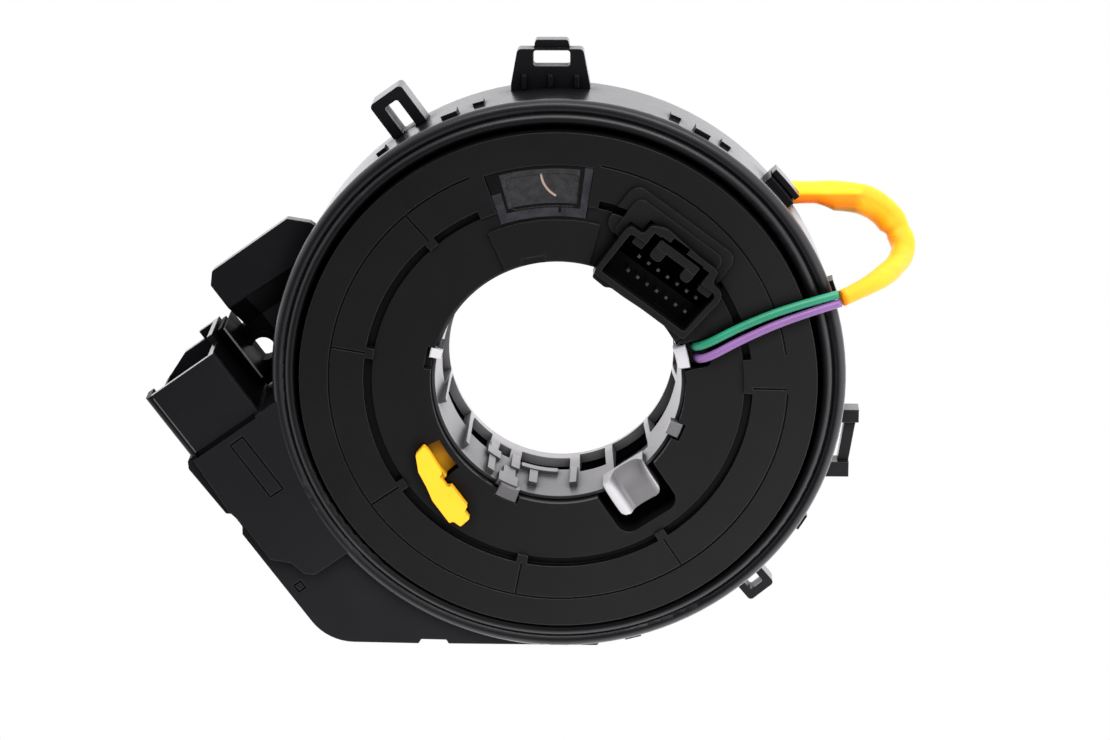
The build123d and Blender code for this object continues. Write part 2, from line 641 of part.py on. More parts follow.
def hub_ring():
    """Pale ring clipped into the rotor from the back: it holds the rotor to the base and drives the fork."""
    flange = ring(HUB_R - FIT - 1.0, 31.6 - RUN_GAP * 2, 4.4, PARTING_Z - FLOOR_THICK - RUN_GAP)
    body = ring_wall() + flange - ring_windows()
    body += ring(HUB_R - FIT - 1.0, 31.6 - RUN_GAP * 2, 4.4, PARTING_Z - FLOOR_THICK - RUN_GAP)
    gate = radial_block(FORK_A, BORE_R - 2, HUB_R + 1, FORK_WIDE - 0.2, 17.8, 40)
    body = body - gate + fork() + ring_hooks() + tee_latch()
    return one_solid(body)


def window_lens():
    """Clear lens with a sunken pane."""
    top = FACE_Z - LENS_DROP
    body = lift(lens_opening(-FIT, -0.2), top - LENS_THICK, top)
    pane = sector(LENS_R[0] + PANE_INSET + 0.6, LENS_R[1] - PANE_INSET, LENS_A[0] + 3.4, LENS_A[1] - 4.6)
    pane = fillet(pane.vertices(), 1.2)
    body -= lift(pane, top - PANE_DEEP, top + 1)
    return one_solid(body)


# ---- rotor socket -----------------------------------------------------------------------------------------
def socket_pin_places():
    """The pins' places in the socket's own axes."""
    return [(PIN_S0 + PIN_PITCH * i, t) for t in PIN_T for i in range(PIN_COUNT)]


def socket_opening():
    """Hole in the rotor's face that the socket stands in."""
    hole = socket_block((SOCKET_S[0] - FIT, SOCKET_S[1] + FIT), (SOCKET_T[0] - 4, SOCKET_T[1] + FIT), (0, 40))
    hole += socket_block((BULGE_S[0] - FIT, BULGE_S[1] + FIT), (SOCKET_T[0], BULGE_T + FIT), (0, 40))
    return hole


def socket_header():
    """Socket shroud with its polarising ribs and latch bridge, and the floor that holds the pins."""
    low = PLATE_TOP
    body = socket_block(SOCKET_S, SOCKET_T, (low, SOCKET_TOP), 1.2)
    body += socket_block(BULGE_S, (SOCKET_T[0] + 4, BULGE_T), (low, SOCKET_TOP), 0.6)
    wall = SOCKET_WALL
    inner_s = (SOCKET_S[0] + wall, SOCKET_S[1] - wall)
    inner_t = (SOCKET_T[0] + wall, SOCKET_T[1] - wall)
    cut_z = (low + SOCKET_FLOOR, SOCKET_TOP + 1)
    body -= socket_block(inner_s, inner_t, cut_z, 0.3)
    body -= socket_block((BULGE_S[0] + wall, BULGE_S[1] - wall), (inner_t[0] + 4, BULGE_T - wall), cut_z)
    for s in (BULGE_S[0], BULGE_S[1] - wall):
        body += socket_block((s, s + wall), (SOCKET_T[1] - 3.6, SOCKET_T[1]), (low, SOCKET_TOP - 0.2))
    bridge = socket_block((-2.4, 7.0), (36.2, 37.6), (low, SOCKET_TOP - 0.2), 0.6)
    for s in (-2.4, 5.6):
        bridge += socket_block((s, s + 1.4), (34.6, 37.6), (low, SOCKET_TOP - 0.2), 0.6)
    bridge += socket_block((1.4, 2.8), (37.0, BULGE_T - 0.4), (low, SOCKET_TOP - 0.2))
    body += bridge
    body -= lift(Circle(BORE_R + 0.1), 0, RING_TOP_Z + 0.2)
    body -= ring(HUB_R - FIT - 2, HUB_R + 1.4, 0, RING_TOP_Z + 0.3)
    for pin in socket_pin_blocks():
        body -= pin
    return one_solid(body)


def socket_pin_blocks():
    """One square pin for each place, through the socket's floor."""
    half = PIN / 2
    return [
        socket_block((s - half, s + half), (t - half, t + half), (PLATE_TOP - 0.8, PIN_TOP))
        for s, t in socket_pin_places()
    ]


def socket_pins():
    """All the pins of the rotor socket, as separate solids."""
    return Compound(children=[Solid(p.solids()[0].wrapped) for p in socket_pin_blocks()])


def harness_pin_blocks():
    """One square pin for each place of the harness connector, through its back wall."""
    half = PIN / 2
    middle = (BOX_U[0] + BOX_U[1]) / 2
    pins = []
    for z in HARNESS_Z:
        for i in range(HARNESS_PINS):
            u = middle + HARNESS_PITCH * (i - (HARNESS_PINS - 1) / 2)
            pins.append(tail_block((u - half, u + half), (STEP_V - 4.0, STEP_V + 11.0), (z - half, z + half)))
    return pins


def harness_pins():
    """All the pins of the harness connector, as separate solids."""
    return Compound(children=[Solid(p.solids()[0].wrapped) for p in harness_pin_blocks()])


# ---- inside ------------------------------------------------------------------------------------------------
def strip_arc(centre, radius, start, sweep):
    """A piece of ribbon bent to an arc: both faces and both ends."""
    half = RIBBON / 2
    outer = CenterArc(centre, radius + half, start, sweep)
    inner = CenterArc(centre, radius - half, start, sweep)
    return make_face([outer, inner, Line(outer @ 0, inner @ 0), Line(outer @ 1, inner @ 1)])


def coil(first_r, halves, last_sweep=180.0):
    """Flat spiral of half circles about two centres, from the loop's line outwards.

    A positive halves count winds outwards anticlockwise, a negative one clockwise.
    """
    turn = 1 if halves > 0 else -1
    ahead = polar(1, LOOP_A)
    flat = Sketch()
    place = first_r
    for i in range(abs(halves)):
        side = 1 if i % 2 == 0 else -1
        centre = -side * COIL_STEP / 2
        radius = abs(place - centre)
        sweep = last_sweep if i == abs(halves) - 1 else 180.0
        start = LOOP_A if side > 0 else LOOP_A + 180
        flat += strip_arc((centre * ahead[0], centre * ahead[1]), radius, start, turn * sweep)
        place = -side * (abs(place) + COIL_STEP)
    return flat


def ribbon_cable():
    """Flat cable: inner coil, one return loop, outer coil, and a straight end into the tail."""
    inner_start = INNER_COIL_R - COIL_STEP * COIL_HALVES
    loop_r = (OUTER_COIL_R - INNER_COIL_R) / 2
    loop_centre = polar((OUTER_COIL_R + INNER_COIL_R) / 2, LOOP_A)
    flat = coil(inner_start, -COIL_HALVES)
    flat += strip_arc(loop_centre, loop_r, LOOP_A, -180)
    flat += coil(OUTER_COIL_R, COIL_HALVES + 1, RIBBON_OUT_A - LOOP_A)
    x, y = ribbon_end()
    flat += Pos(x, y - RIBBON_RUN / 2) * Rectangle(RIBBON, RIBBON_RUN)
    return one_solid(lift(flat, *RIBBON_Z))


def ribbon_end():
    """Where the outer coil ends and the straight end begins."""
    centre = polar(-COIL_STEP / 2, LOOP_A)
    reach = OUTER_COIL_R + COIL_STEP * COIL_HALVES + COIL_STEP / 2
    away = polar(reach, RIBBON_OUT_A)
    return (centre[0] + away[0], centre[1] + away[1])


def loop_post(angle, radius):
    """A round guide post of the carrier."""
    middle = sum(CARRIER_R) / 2
    return Pos(*polar(middle, angle)) * lift(Circle(radius), CARRIER_Z[0], RIBBON_Z[1] - 0.4)


def loop_carrier():
    """Loose ring that travels round with the return loop, with guide posts and a pivot for the roller."""
    body = ring(CARRIER_R[0], CARRIER_R[1], *CARRIER_Z)
    for angle in (151.0, 201.0, 251.0, 301.0, 351.0, 41.0):
        body += loop_post(angle, POST_R)
    middle = polar((INNER_COIL_R + OUTER_COIL_R) / 2, LOOP_A)
    body += Pos(*middle) * lift(Circle(PIVOT_R), CARRIER_Z[0], RIBBON_Z[1] - 0.4)
    loop_r = (OUTER_COIL_R - INNER_COIL_R) / 2
    guide = CenterArc(middle, loop_r + 1.0, LOOP_A - 90 - 42, 84)
    back = CenterArc(middle, loop_r + 2.4, LOOP_A - 90 - 42, 84)
    flat = make_face([guide, back, Line(guide @ 0, back @ 0), Line(guide @ 1, back @ 1)])
    body += lift(flat, CARRIER_Z[0], RIBBON_Z[1] - 0.4)
    return one_solid(body)


def loop_roller():
    """Free roller inside the return loop."""
    middle = polar((INNER_COIL_R + OUTER_COIL_R) / 2, LOOP_A)
    flat = Circle(ROLLER_R) - Circle(PIVOT_R + PIVOT_GAP)
    return one_solid(Pos(*middle) * lift(flat, CARRIER_Z[1], RIBBON_Z[1] - 0.5))


def lower_slip_sheet():
    """Thin film on the housing's floor that the ribbon's edge slides on."""
    return one_solid(ring(DRUM_R + 0.4, SHELL_R - WALL - 2.0, PARTING_Z, PARTING_Z + FILM))


def upper_slip_sheet():
    """Thin film under the drum's flange plate, open under the lens."""
    top = PLATE_TOP - PLATE_THICK
    film = ring(DRUM_R + 0.1, SHELL_R - WALL - 2.4, top - FILM, top)
    film -= lift(lens_opening(-0.4, -0.6), 0, 40)
    for s, t in socket_pin_places():
        film -= socket_block((s - 0.8, s + 0.8), (t - 0.8, t + 0.8), (0, 40))
    return one_solid(film)


def terminal_carrier():
    """Moulded strip in the tail that carries the circuits from the ribbon's end to the harness pins."""
    plate = tail_block((-73.0, -61.6), (-7.0, STEP_V - 2.4), (TAIL_FLOOR, TAIL_FLOOR + 3.0), 1.0)
    x, y = ribbon_end()
    post = Pos(x, y - RIBBON_RUN - 4.0) * lift(RectangleRounded(4.4, 8.0, 0.6), TAIL_FLOOR, RIBBON_Z[1] + 0.6)
    comb = tail_block((-73.0, -59.8), (STEP_V - 5.0, STEP_V - 2.4), (TAIL_FLOOR, HARNESS_Z[1] + 2.5), 0.4)
    body = plate + post + comb
    for pin in harness_pin_blocks():
        body -= pin
    return one_solid(body)


# ---- lock key ------------------------------------------------------------------------------------------------
def lock_key():
    """Pull-out key: a plug in the rotor's window and a flat arm with a cross handle."""
    plug = lift(sector(KEY_R[0], KEY_R[1], KEY_A[0], KEY_A[1]), KEY_Z[0], KEY_Z[0] + 3.2)
    plug += lift(sector(KEY_R[1] - 1.8, KEY_R[1], KEY_A[0], KEY_A[1]), KEY_Z[0], KEY_Z[1] + 0.1)
    arm = [
        (-28.6, -13.4),
        (-30.4, -15.4),
        (-29.9, -19.2),
        (-28.2, -22.6),
        (-27.0, -25.7),
        (-23.4, -30.8),
        (-22.5, -30.5),
        (-21.0, -31.6),
        (-19.0, -29.8),
        (-20.1, -28.2),
        (-19.5, -27.0),
        (-22.8, -22.4),
        (-23.7, -22.7),
        (-25.4, -20.3),
        (-24.8, -19.6),
        (-27.3, -15.1),
    ]
    handle = lift(rounded(arm, 0.4), *KEY_HANDLE_Z)
    return one_solid(plug + handle)


# ---- leads -----------------------------------------------------------------------------------------------------
def route_radii(points):
    """Arc radius at each inner point: a share of the shorter run over the tangent of half the turn."""
    places = [Vector(*p) for p in points]
    radii = []
    for before, here, after in zip(places, places[1:], places[2:]):
        turn = (here - before).get_angle(after - here)
        run = min((here - before).length, (after - here).length)
        radii.append(CORD_SHARE * run / tan(radians(turn / 2)))
    return radii


def cord_tube(name, points, diameter):
    """Plain tube of straight runs and tangent arcs along a route."""
    radii = route_radii(points)
    print(name, "radii", [round(r, 1) for r in radii])
    path = FilletPolyline(*points, radius=radii).wire()
    start = Plane(origin=path @ 0, z_dir=path % 0)
    tube = sweep(start * Circle(diameter / 2), path=path)
    section = 3.14159265 * diameter**2 / 4
    print(name, "length", round(path.length, 1), "volume share", round(tube.volume / (section * path.length), 4))
    return one_solid(tube)


def wire_grommet():
    """Block under the face that the two wires come out of."""
    body = radial_block(13.0, HUB_R + 1.3, 32.6, 5.8, PLATE_TOP, GREEN_ROUTE[0][2], 0.8)
    return one_solid(body)


def squib_plug():
    """Flat plug at the sleeve's end, lying in the bay behind the base."""
    end = SLEEVE_ROUTE[-1]
    body = Pos(end[0] - PLUG[0] / 2, end[1], end[2]) * Box(*PLUG)
    body = fillet(body.edges().filter_by(Axis.X), 0.8)
    groove = Pos(end[0] - PLUG[0] * 0.62, end[1], end[2] - PLUG[2] / 2) * Box(5.0, 4.4, 1.6)
    return one_solid(body - groove)


def plug_lock():
    """Small lock clip in the plug's groove."""
    end = SLEEVE_ROUTE[-1]
    clip = Pos(end[0] - PLUG[0] * 0.62, end[1], end[2] - PLUG[2] / 2 + 0.4) * Box(4.6, 4.0, 0.8)
    return one_solid(clip)


# ---- write every node ---------------------------------------------------------------------------------------------
NODES = {
    "housing_shell": housing_shell,
    "base_cover": base_cover,
    "harness_pins": harness_pins,
    "terminal_carrier": terminal_carrier,
    "lower_slip_sheet": lower_slip_sheet,
    "ribbon_cable": ribbon_cable,
    "rotor_cover": rotor_cover,
    "rotor_drum": rotor_drum,
    "hub_ring": hub_ring,
    "window_lens": window_lens,
    "socket_header": socket_header,
    "socket_pins": socket_pins,
    "upper_slip_sheet": upper_slip_sheet,
    "wire_grommet": wire_grommet,
    "loop_carrier": loop_carrier,
    "loop_roller": loop_roller,
    "lock_key": lock_key,
    "green_wire": lambda: cord_tube("green_wire", GREEN_ROUTE, WIRE_D),
    "purple_wire": lambda: cord_tube("purple_wire", PURPLE_ROUTE, WIRE_D),
    "wire_sleeve": lambda: cord_tube("wire_sleeve", SLEEVE_ROUTE, SLEEVE_D),
    "squib_plug": squib_plug,
    "plug_lock": plug_lock,
}


def main():
    """Builds every node and writes it."""
    os.makedirs("parts", exist_ok=True)
    for name, make in NODES.items():
        export_step(make(), f"parts/{name}.step")


main()
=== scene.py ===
# %% [markdown]
# # Steering clock spring
# The object is a flat round unit from a steering column: a black housing, a rotor that turns with the
# wheel, a pale hub ring in its bore, a socket, a window, a yellow lock key and two wires that leave in
# a yellow sleeve. The CAD nodes already have their shapes. This lesson gives them finishes, and makes
# new surfaces only where a node's shape is too plain: the hub ring, the socket, two thin lines by the
# connector, and the cords. Lengths are metres in the CAD frame, with +Z out of the face. Outlines are
# written in millimetres and scaled by MM.

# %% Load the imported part
from math import cos, pi, radians, sin

import bmesh
import bpy
import numpy as np
from mathutils import Matrix, Vector


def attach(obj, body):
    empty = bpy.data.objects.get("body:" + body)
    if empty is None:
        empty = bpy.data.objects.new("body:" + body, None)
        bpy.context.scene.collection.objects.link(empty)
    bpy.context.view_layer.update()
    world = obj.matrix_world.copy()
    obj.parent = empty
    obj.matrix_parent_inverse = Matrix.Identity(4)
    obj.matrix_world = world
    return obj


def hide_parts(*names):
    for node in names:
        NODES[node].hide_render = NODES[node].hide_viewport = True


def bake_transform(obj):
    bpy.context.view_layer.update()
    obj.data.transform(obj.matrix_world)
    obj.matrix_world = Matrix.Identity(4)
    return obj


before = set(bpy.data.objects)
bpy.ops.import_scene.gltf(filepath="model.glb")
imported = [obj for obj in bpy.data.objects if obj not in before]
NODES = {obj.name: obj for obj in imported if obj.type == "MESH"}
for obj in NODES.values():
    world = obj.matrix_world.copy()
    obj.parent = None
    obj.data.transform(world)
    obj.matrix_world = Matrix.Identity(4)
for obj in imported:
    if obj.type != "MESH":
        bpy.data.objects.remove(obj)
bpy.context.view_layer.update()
MM = 0.001
print("nodes:", len(NODES))

# %% [markdown]
# ## Render settings and camera
# A flat object is best shown from far away with a long lens, so that its circles stay nearly round. The
# camera looks down at the face, tilted by TILT about an axis that is itself turned by TURN. A wider
# lens from nearer would show more depth but bend the rim. Cycles gives soft shadows, and the Standard
# view transform keeps the background white.

# %% Renderer
scene = bpy.context.scene
scene.render.engine = "CYCLES"
scene.cycles.samples = 64
scene.cycles.use_denoising = True
scene.cycles.max_bounces = 6
scene.render.resolution_x = 1110
scene.render.resolution_y = 740
scene.view_settings.view_transform = "Standard"
scene.view_settings.look = "None"
scene.render.film_transparent = False
print("frame:", scene.render.resolution_x, "x", scene.render.resolution_y, "pixels")

# %% Camera
TILT, TURN = radians(18.2), radians(-6.0)
LENS_MM = 114.32
CAMERA_AT = Vector((23.9, 235.9, 737.5)) * MM

cam_data = bpy.data.cameras.new("camera")
cam_data.lens = LENS_MM
cam_data.sensor_width = 36.0
cam_data.clip_start = 0.05
cam_data.clip_end = 20.0
camera = bpy.data.objects.new("camera", cam_data)
tilted = Matrix.Rotation(TURN, 3, "Z") @ Matrix.Rotation(-TILT, 3, "X") @ Matrix.Rotation(-TURN, 3, "Z")
camera.rotation_euler = tilted.to_euler()
camera.location = CAMERA_AT
scene.collection.objects.link(camera)
scene.camera = camera
print("camera distance:", round(CAMERA_AT.length, 3), "m")

# %% [markdown]
# ## Light: a bright tent with a dark opening
# Black plastic shows what it mirrors. In a plain white tent it would turn grey, and without a tent the
# coloured parts would be dull. So the world is a strong white sweep at the sides and behind, with a
# dark opening in the direction that the face mirrors. How dark depends on the angle to the opening's
# middle: the dot product of two directions, carried from -1..1 to 0..1, reads a ramp. Camera rays see
# plain white instead.

# %% Softboxes
FACE_MIDDLE = Vector((0, 0, 10)) * MM


def area_light(name, place, size, power, colour=(1.0, 1.0, 1.0)):
    """A rectangular area light that points at the face. Places and sizes are millimetres."""
    data = bpy.data.lights.new(name, "AREA")
    data.shape = "RECTANGLE"
    data.size, data.size_y = size[0] * MM, size[1] * MM
    data.energy = power
    data.color = colour
    lamp = bpy.data.objects.new(name, data)
    lamp.location = Vector(place) * MM
    lamp.rotation_euler = (FACE_MIDDLE - lamp.location).to_track_quat("-Z", "Y").to_euler()
    scene.collection.objects.link(lamp)
    print(name, "shines", power, "W")


area_light("top_softbox", (60, 520, 430), (700, 220), 3.9, (1.0, 0.99, 0.97))
area_light("left_softbox", (-620, 120, 320), (300, 600), 0.3, (0.96, 0.98, 1.0))
area_light("right_softbox", (640, -60, 380), (300, 600), 0.4)

# %% White sweep
TENT_LIGHT = 2.4  # radiance of the sweep
DARK_SPOT = (-0.33, -0.03, 0.94)  # direction of the opening over the face
TENT_FALL = (  # place from the opposite side (0) to the opening's middle (1), and the light there
    (0.629, 1.0), (0.75, 0.86), (0.854, 0.55), (0.924, 0.28), (0.953, 0.11), (0.9755, 0.01), (0.989, 0.0),
)
TENT_TINT = (0.985, 0.97, 1.0)

world = bpy.data.worlds.new("white_sweep")
world.use_nodes = True
scene.world = world
wn, wl = world.node_tree.nodes, world.node_tree.links
wn.clear()
w_out = wn.new("ShaderNodeOutputWorld")
w_mix = wn.new("ShaderNodeMixShader")
w_path = wn.new("ShaderNodeLightPath")
w_seen = wn.new("ShaderNodeBackground")
w_seen.inputs["Color"].default_value = (1, 1, 1, 1)
w_lit = wn.new("ShaderNodeBackground")
w_lit.inputs["Strength"].default_value = TENT_LIGHT
w_place = wn.new("ShaderNodeTexCoord")
w_near = wn.new("ShaderNodeVectorMath")
w_near.operation = "DOT_PRODUCT"
w_near.inputs[1].default_value = Vector(DARK_SPOT).normalized()
w_share = wn.new("ShaderNodeMapRange")
w_share.inputs["From Min"].default_value = -1.0
w_tent = wn.new("ShaderNodeValToRGB")
while len(w_tent.color_ramp.elements) < len(TENT_FALL):
    w_tent.color_ramp.elements.new(0.5)
for element, (at, light) in zip(w_tent.color_ramp.elements, TENT_FALL):
    element.position = at
    element.color = (*(light * tint for tint in TENT_TINT), 1)
wl.new(w_place.outputs["Generated"], w_near.inputs[0])
wl.new(w_near.outputs["Value"], w_share.inputs["Value"])
wl.new(w_share.outputs["Result"], w_tent.inputs["Fac"])
wl.new(w_tent.outputs["Color"], w_lit.inputs["Color"])
wl.new(w_path.outputs["Is Camera Ray"], w_mix.inputs["Fac"])
wl.new(w_lit.outputs[0], w_mix.inputs[1])
wl.new(w_seen.outputs[0], w_mix.inputs[2])
wl.new(w_mix.outputs[0], w_out.inputs["Surface"])
print("tent stops:", len(TENT_FALL))

# %% [markdown]
# ## A short notation for finishes
# A finish is a node tree round one Principled shader. Writing each node in full would hide the idea, so
# a small class gives a name to each step: noise, ramp, span, maths, bump. Everything reads Object
# coordinates. They stay with a piece when its body turns, so that a pattern doesn't swim over it.

# %% Finish class
HOLLOW_POWER = 1.2  # how fast light falls off into a hollow


class Finish:
    """One material: a Principled shader and short calls for the nodes that feed it."""

    def __init__(self, name):
        self.material = bpy.data.materials.new(name)
        self.material.use_nodes = True
        self.nodes = self.material.node_tree.nodes
        self.links = self.material.node_tree.links
        self.nodes.clear()
        self.out = self.nodes.new("ShaderNodeOutputMaterial")
        self.shader = self.nodes.new("ShaderNodeBsdfPrincipled")
        self.links.new(self.shader.outputs[0], self.out.inputs["Surface"])
        self.place = self.nodes.new("ShaderNodeTexCoord").outputs["Object"]

    def add(self, kind, **values):
        """A node. Names that start with p_ are its properties, the others its inputs."""
        node = self.nodes.new(kind)
        for key, value in values.items():
            if key.startswith("p_"):
                setattr(node, key[2:], value)
            else:
                node.inputs[key.replace("_", " ")].default_value = value
        return node

    def feed(self, socket, value):
        """A link or a plain value into a socket."""
        if isinstance(value, bpy.types.NodeSocket):
            self.links.new(value, socket)
        else:
            socket.default_value = value

    def set(self, **values):
        """Values or links for the shader's own inputs."""
        for key, value in values.items():
            self.feed(self.shader.inputs[key.replace("_", " ")], value)

    def axes(self):
        """X, Y and Z of the place, as three values in metres."""
        node = self.add("ShaderNodeSeparateXYZ")
        self.feed(node.inputs[0], self.place)
        return node.outputs["X"], node.outputs["Y"], node.outputs["Z"]

    def noise(self, scale, detail=3.0, rough=0.5, distortion=0.0):
        node = self.add("ShaderNodeTexNoise", Scale=scale, Detail=detail, Roughness=rough)
        node.inputs["Distortion"].default_value = distortion
        self.feed(node.inputs["Vector"], self.place)
        return node.outputs["Fac"]

    def ramp(self, value, stops):
        node = self.nodes.new("ShaderNodeValToRGB")
        band = node.color_ramp
        while len(band.elements) < len(stops):
            band.elements.new(0.5)
        for element, (at, colour) in zip(band.elements, stops):
            element.position = at
            element.color = (*colour, 1)
        self.feed(node.inputs["Fac"], value)
        return node.outputs["Color"]

    def span(self, value, low, high, start=0.0, end=1.0):
        """The value's way from start to end, carried over to low and high."""
        node = self.add("ShaderNodeMapRange", From_Min=start, From_Max=end, To_Min=low, To_Max=high)
        self.feed(node.inputs["Value"], value)
        return node.outputs["Result"]

    def maths(self, operation, a, b=0.0):
        node = self.add("ShaderNodeMath", p_operation=operation)
        self.feed(node.inputs[0], a)
        self.feed(node.inputs[1], b)
        return node.outputs[0]

    def above(self, value, limit):
        return self.maths("GREATER_THAN", value, limit)

    def below(self, value, limit):
        return self.maths("LESS_THAN", value, limit)

    def both(self, first, *others):
        """The product of shares: 1 only where all of them are."""
        for other in others:
            first = self.maths("MULTIPLY", first, other)
        return first

    def between(self, value, low, high):
        return self.both(self.above(value, low), self.below(value, high))

    def distance(self, x, y):
        squares = self.maths("ADD", self.maths("MULTIPLY", x, x), self.maths("MULTIPLY", y, y))
        return self.maths("SQRT", squares)

    def mix(self, share, first, second, how="MIX"):
        node = self.add("ShaderNodeMix", p_data_type="RGBA", p_blend_type=how)
        self.feed(node.inputs["Factor"], share)
        self.feed(node.inputs[6], first)
        self.feed(node.inputs[7], second)
        return node.outputs[2]

    def bump(self, height, strength, distance, normal=None):
        node = self.add("ShaderNodeBump", Strength=strength, Distance=distance)
        self.feed(node.inputs["Height"], height)
        if normal is not None:
            self.feed(node.inputs["Normal"], normal)
        return node.outputs["Normal"]

    def soft_edges(self, radius):
        return self.add("ShaderNodeBevel", p_samples=4, Radius=radius).outputs["Normal"]

    def shade_hollows(self, reach, hidden=None):
        """Near-black inside narrow hollows, which the sweep hardly lights; hidden is a further loss."""
        open_sky = self.add("ShaderNodeAmbientOcclusion", p_samples=6, Distance=reach)
        share = self.maths("POWER", open_sky.outputs["AO"], HOLLOW_POWER)
        if hidden is not None:
            share = self.maths("MULTIPLY", share, self.maths("SUBTRACT", 1.0, hidden))
        black = self.add("ShaderNodeBsdfDiffuse", Color=(0.0008, 0.0008, 0.0009, 1))
        mix = self.nodes.new("ShaderNodeMixShader")
        self.feed(mix.inputs["Fac"], share)
        self.feed(mix.inputs[1], black.outputs[0])
        self.feed(mix.inputs[2], self.shader.outputs[0])
        self.feed(self.out.inputs["Surface"], mix.outputs[0])

# %% [markdown]
# ## Moulded plastic
# Housing, rotor, socket and key are injection moulded: a fine spark-eroded grain, slow flow shading and
# scuffs, and edges with a small radius that catch the light. An image could carry this, but three
# layers of noise need no seams and no file. The Bevel node rounds the edges only in shading, so the
# mesh stays as it is. The shine is painted light: it grows to the right (+X) and down (-Y), and falls
# towards the top left, where the light is weaker.

# %% Moulded finish
# painted sheen: how fast the painted shine grows towards +X and -Y
PAINTED_SHEEN_X, PAINTED_SHEEN_Y = 3.0, -4.5  # share by which the shine grows per metre
FLOW_SCALE, GRAIN_SCALE, SCUFF_SCALE = 38.0, 2600.0, 240.0  # noise cells per metre
GRAIN_DEEP, SCUFF_DEEP = 0.00002, 0.00006


def moulded(name, dark, light, rough, specular=0.5, edge=0.00025, shade=0.0, hidden=None):
    """Plastic between two colours; shade is the reach of its hollows, hidden what further loses light."""
    t = Finish(name)
    flow = t.noise(FLOW_SCALE, 4.0, 0.55, 0.6)
    grain = t.noise(GRAIN_SCALE, 2.0, 0.6)
    scuff = t.noise(SCUFF_SCALE, 5.0, 0.7, 1.2)
    x, y, _ = t.axes()
    # painted sheen: the specular level grows to +X and -Y and falls where the light is weaker
    painted_sheen = t.maths("ADD", t.maths("MULTIPLY", x, PAINTED_SHEEN_X), t.maths("MULTIPLY", y, PAINTED_SHEEN_Y))
    painted_sheen = t.maths("ADD", painted_sheen, 1.0)
    worn = t.maths("ADD", t.maths("MULTIPLY", grain, 0.55), t.maths("MULTIPLY", scuff, 0.45))
    t.set(Base_Color=t.ramp(flow, [(0.3, dark), (0.7, light)]), Roughness=t.span(worn, *rough))
    t.set(Specular_IOR_Level=t.maths("MULTIPLY", painted_sheen, specular))
    t.set(Normal=t.bump(grain, 0.5, GRAIN_DEEP, t.bump(scuff, 0.12, SCUFF_DEEP, t.soft_edges(edge))))
    if shade:
        t.shade_hollows(shade, hidden(t) if hidden else None)
    return t.material


# %% [markdown]
# ### Where light is lost
# A socket is deep and narrow, and so is the pit between the connector's box and the lug. Ambient
# occlusion only reaches a few millimetres, so each gets a share of lost light from its own place: by
# height in the socket, and by the tail's own axes at the connector, where u runs along its step and v
# out of its mouth.

# %% Lost light
TAIL_TURN = radians(35.5)
SLOPE_U, SLOPE_V = -73.9 * MM, 30.6 * MM  # the box's outer slope lies below this u and above this v
PIT_U, PIT_V, PIT_TOP = (-57.3 * MM, -47.5 * MM), (31.8 * MM, 50.8 * MM), 20.9 * MM
SLOPE_LOSS, PIT_LOSS, SOCKET_LOSS = 0.72, 0.85, 0.97  # shares of light lost
SOCKET_DEEP, SOCKET_OPEN = 22.2 * MM, 27.6 * MM  # heights between which the socket's loss fades out


def deep_socket(t):
    """Share of light lost towards the socket's floor."""
    return t.span(t.axes()[2], SOCKET_LOSS, 0.0, SOCKET_DEEP, SOCKET_OPEN)


def connector_shadow(t):
    """Share of light lost on the box's outer slope and in the pit behind it."""
    x, y, z = t.axes()
    c, d = cos(TAIL_TURN), sin(TAIL_TURN)
    u = t.maths("ADD", t.maths("MULTIPLY", x, c), t.maths("MULTIPLY", y, d))
    v = t.maths("SUBTRACT", t.maths("MULTIPLY", y, c), t.maths("MULTIPLY", x, d))
    slope = t.both(t.below(u, SLOPE_U), t.above(v, SLOPE_V))
    pit = t.both(t.between(u, *PIT_U), t.between(v, *PIT_V), t.below(z, PIT_TOP))
    return t.maths("ADD", t.maths("MULTIPLY", slope, SLOPE_LOSS), t.maths("MULTIPLY", pit, PIT_LOSS))


# %% Moulded pieces
HOUSING = moulded(
    "housing_black", (0.0036, 0.0034, 0.0042), (0.0056, 0.0054, 0.0064), (0.24, 0.36), 0.36,
    shade=0.005, hidden=connector_shadow,
)
ROTOR = moulded(
    "rotor_black", (0.0030, 0.0028, 0.0031), (0.0044, 0.0041, 0.0045), (0.25, 0.37), 0.32, shade=0.003,
)
# painted shade: the drum is the rotor's black made darker and less shiny, with a long reach of darkened
# hollows, since it is seen only in shadow through the windows and the groove
DRUM_SHADED = moulded("drum_black_shaded", (0.0012, 0.0012, 0.0013), (0.002, 0.002, 0.002), (0.4, 0.5), 0.12, shade=0.02)
SOCKET = moulded(
    "socket_black", (0.003, 0.003, 0.0033), (0.0045, 0.0045, 0.005), (0.24, 0.36), 0.3,
    shade=0.006, hidden=deep_socket,
)
INNER = moulded("inner_black", (0.003, 0.003, 0.003), (0.005, 0.005, 0.005), (0.45, 0.6), 0.3)
# painted highlight: pale grey for light caught on thin tops and edges
EDGE_HIGHLIGHT = moulded("lit_edge", (0.05, 0.05, 0.055), (0.08, 0.08, 0.085), (0.3, 0.4))
NATURAL = moulded("natural_acetal", (0.55, 0.55, 0.52), (0.66, 0.66, 0.63), (0.3, 0.45))
KEY = moulded("key_yellow", (0.94, 0.44, 0.010), (1.0, 0.52, 0.015), (0.35, 0.5), edge=0.0003, shade=0.0035)
PLUG = moulded("plug_yellow", (0.86, 0.46, 0.014), (0.95, 0.52, 0.02), (0.35, 0.5))
print("moulded blacks:", [finish.name for finish in (HOUSING, ROTOR, DRUM_SHADED, SOCKET, INNER)])
print("other moulded finishes:", [finish.name for finish in (EDGE_HIGHLIGHT, NATURAL, KEY, PLUG)])

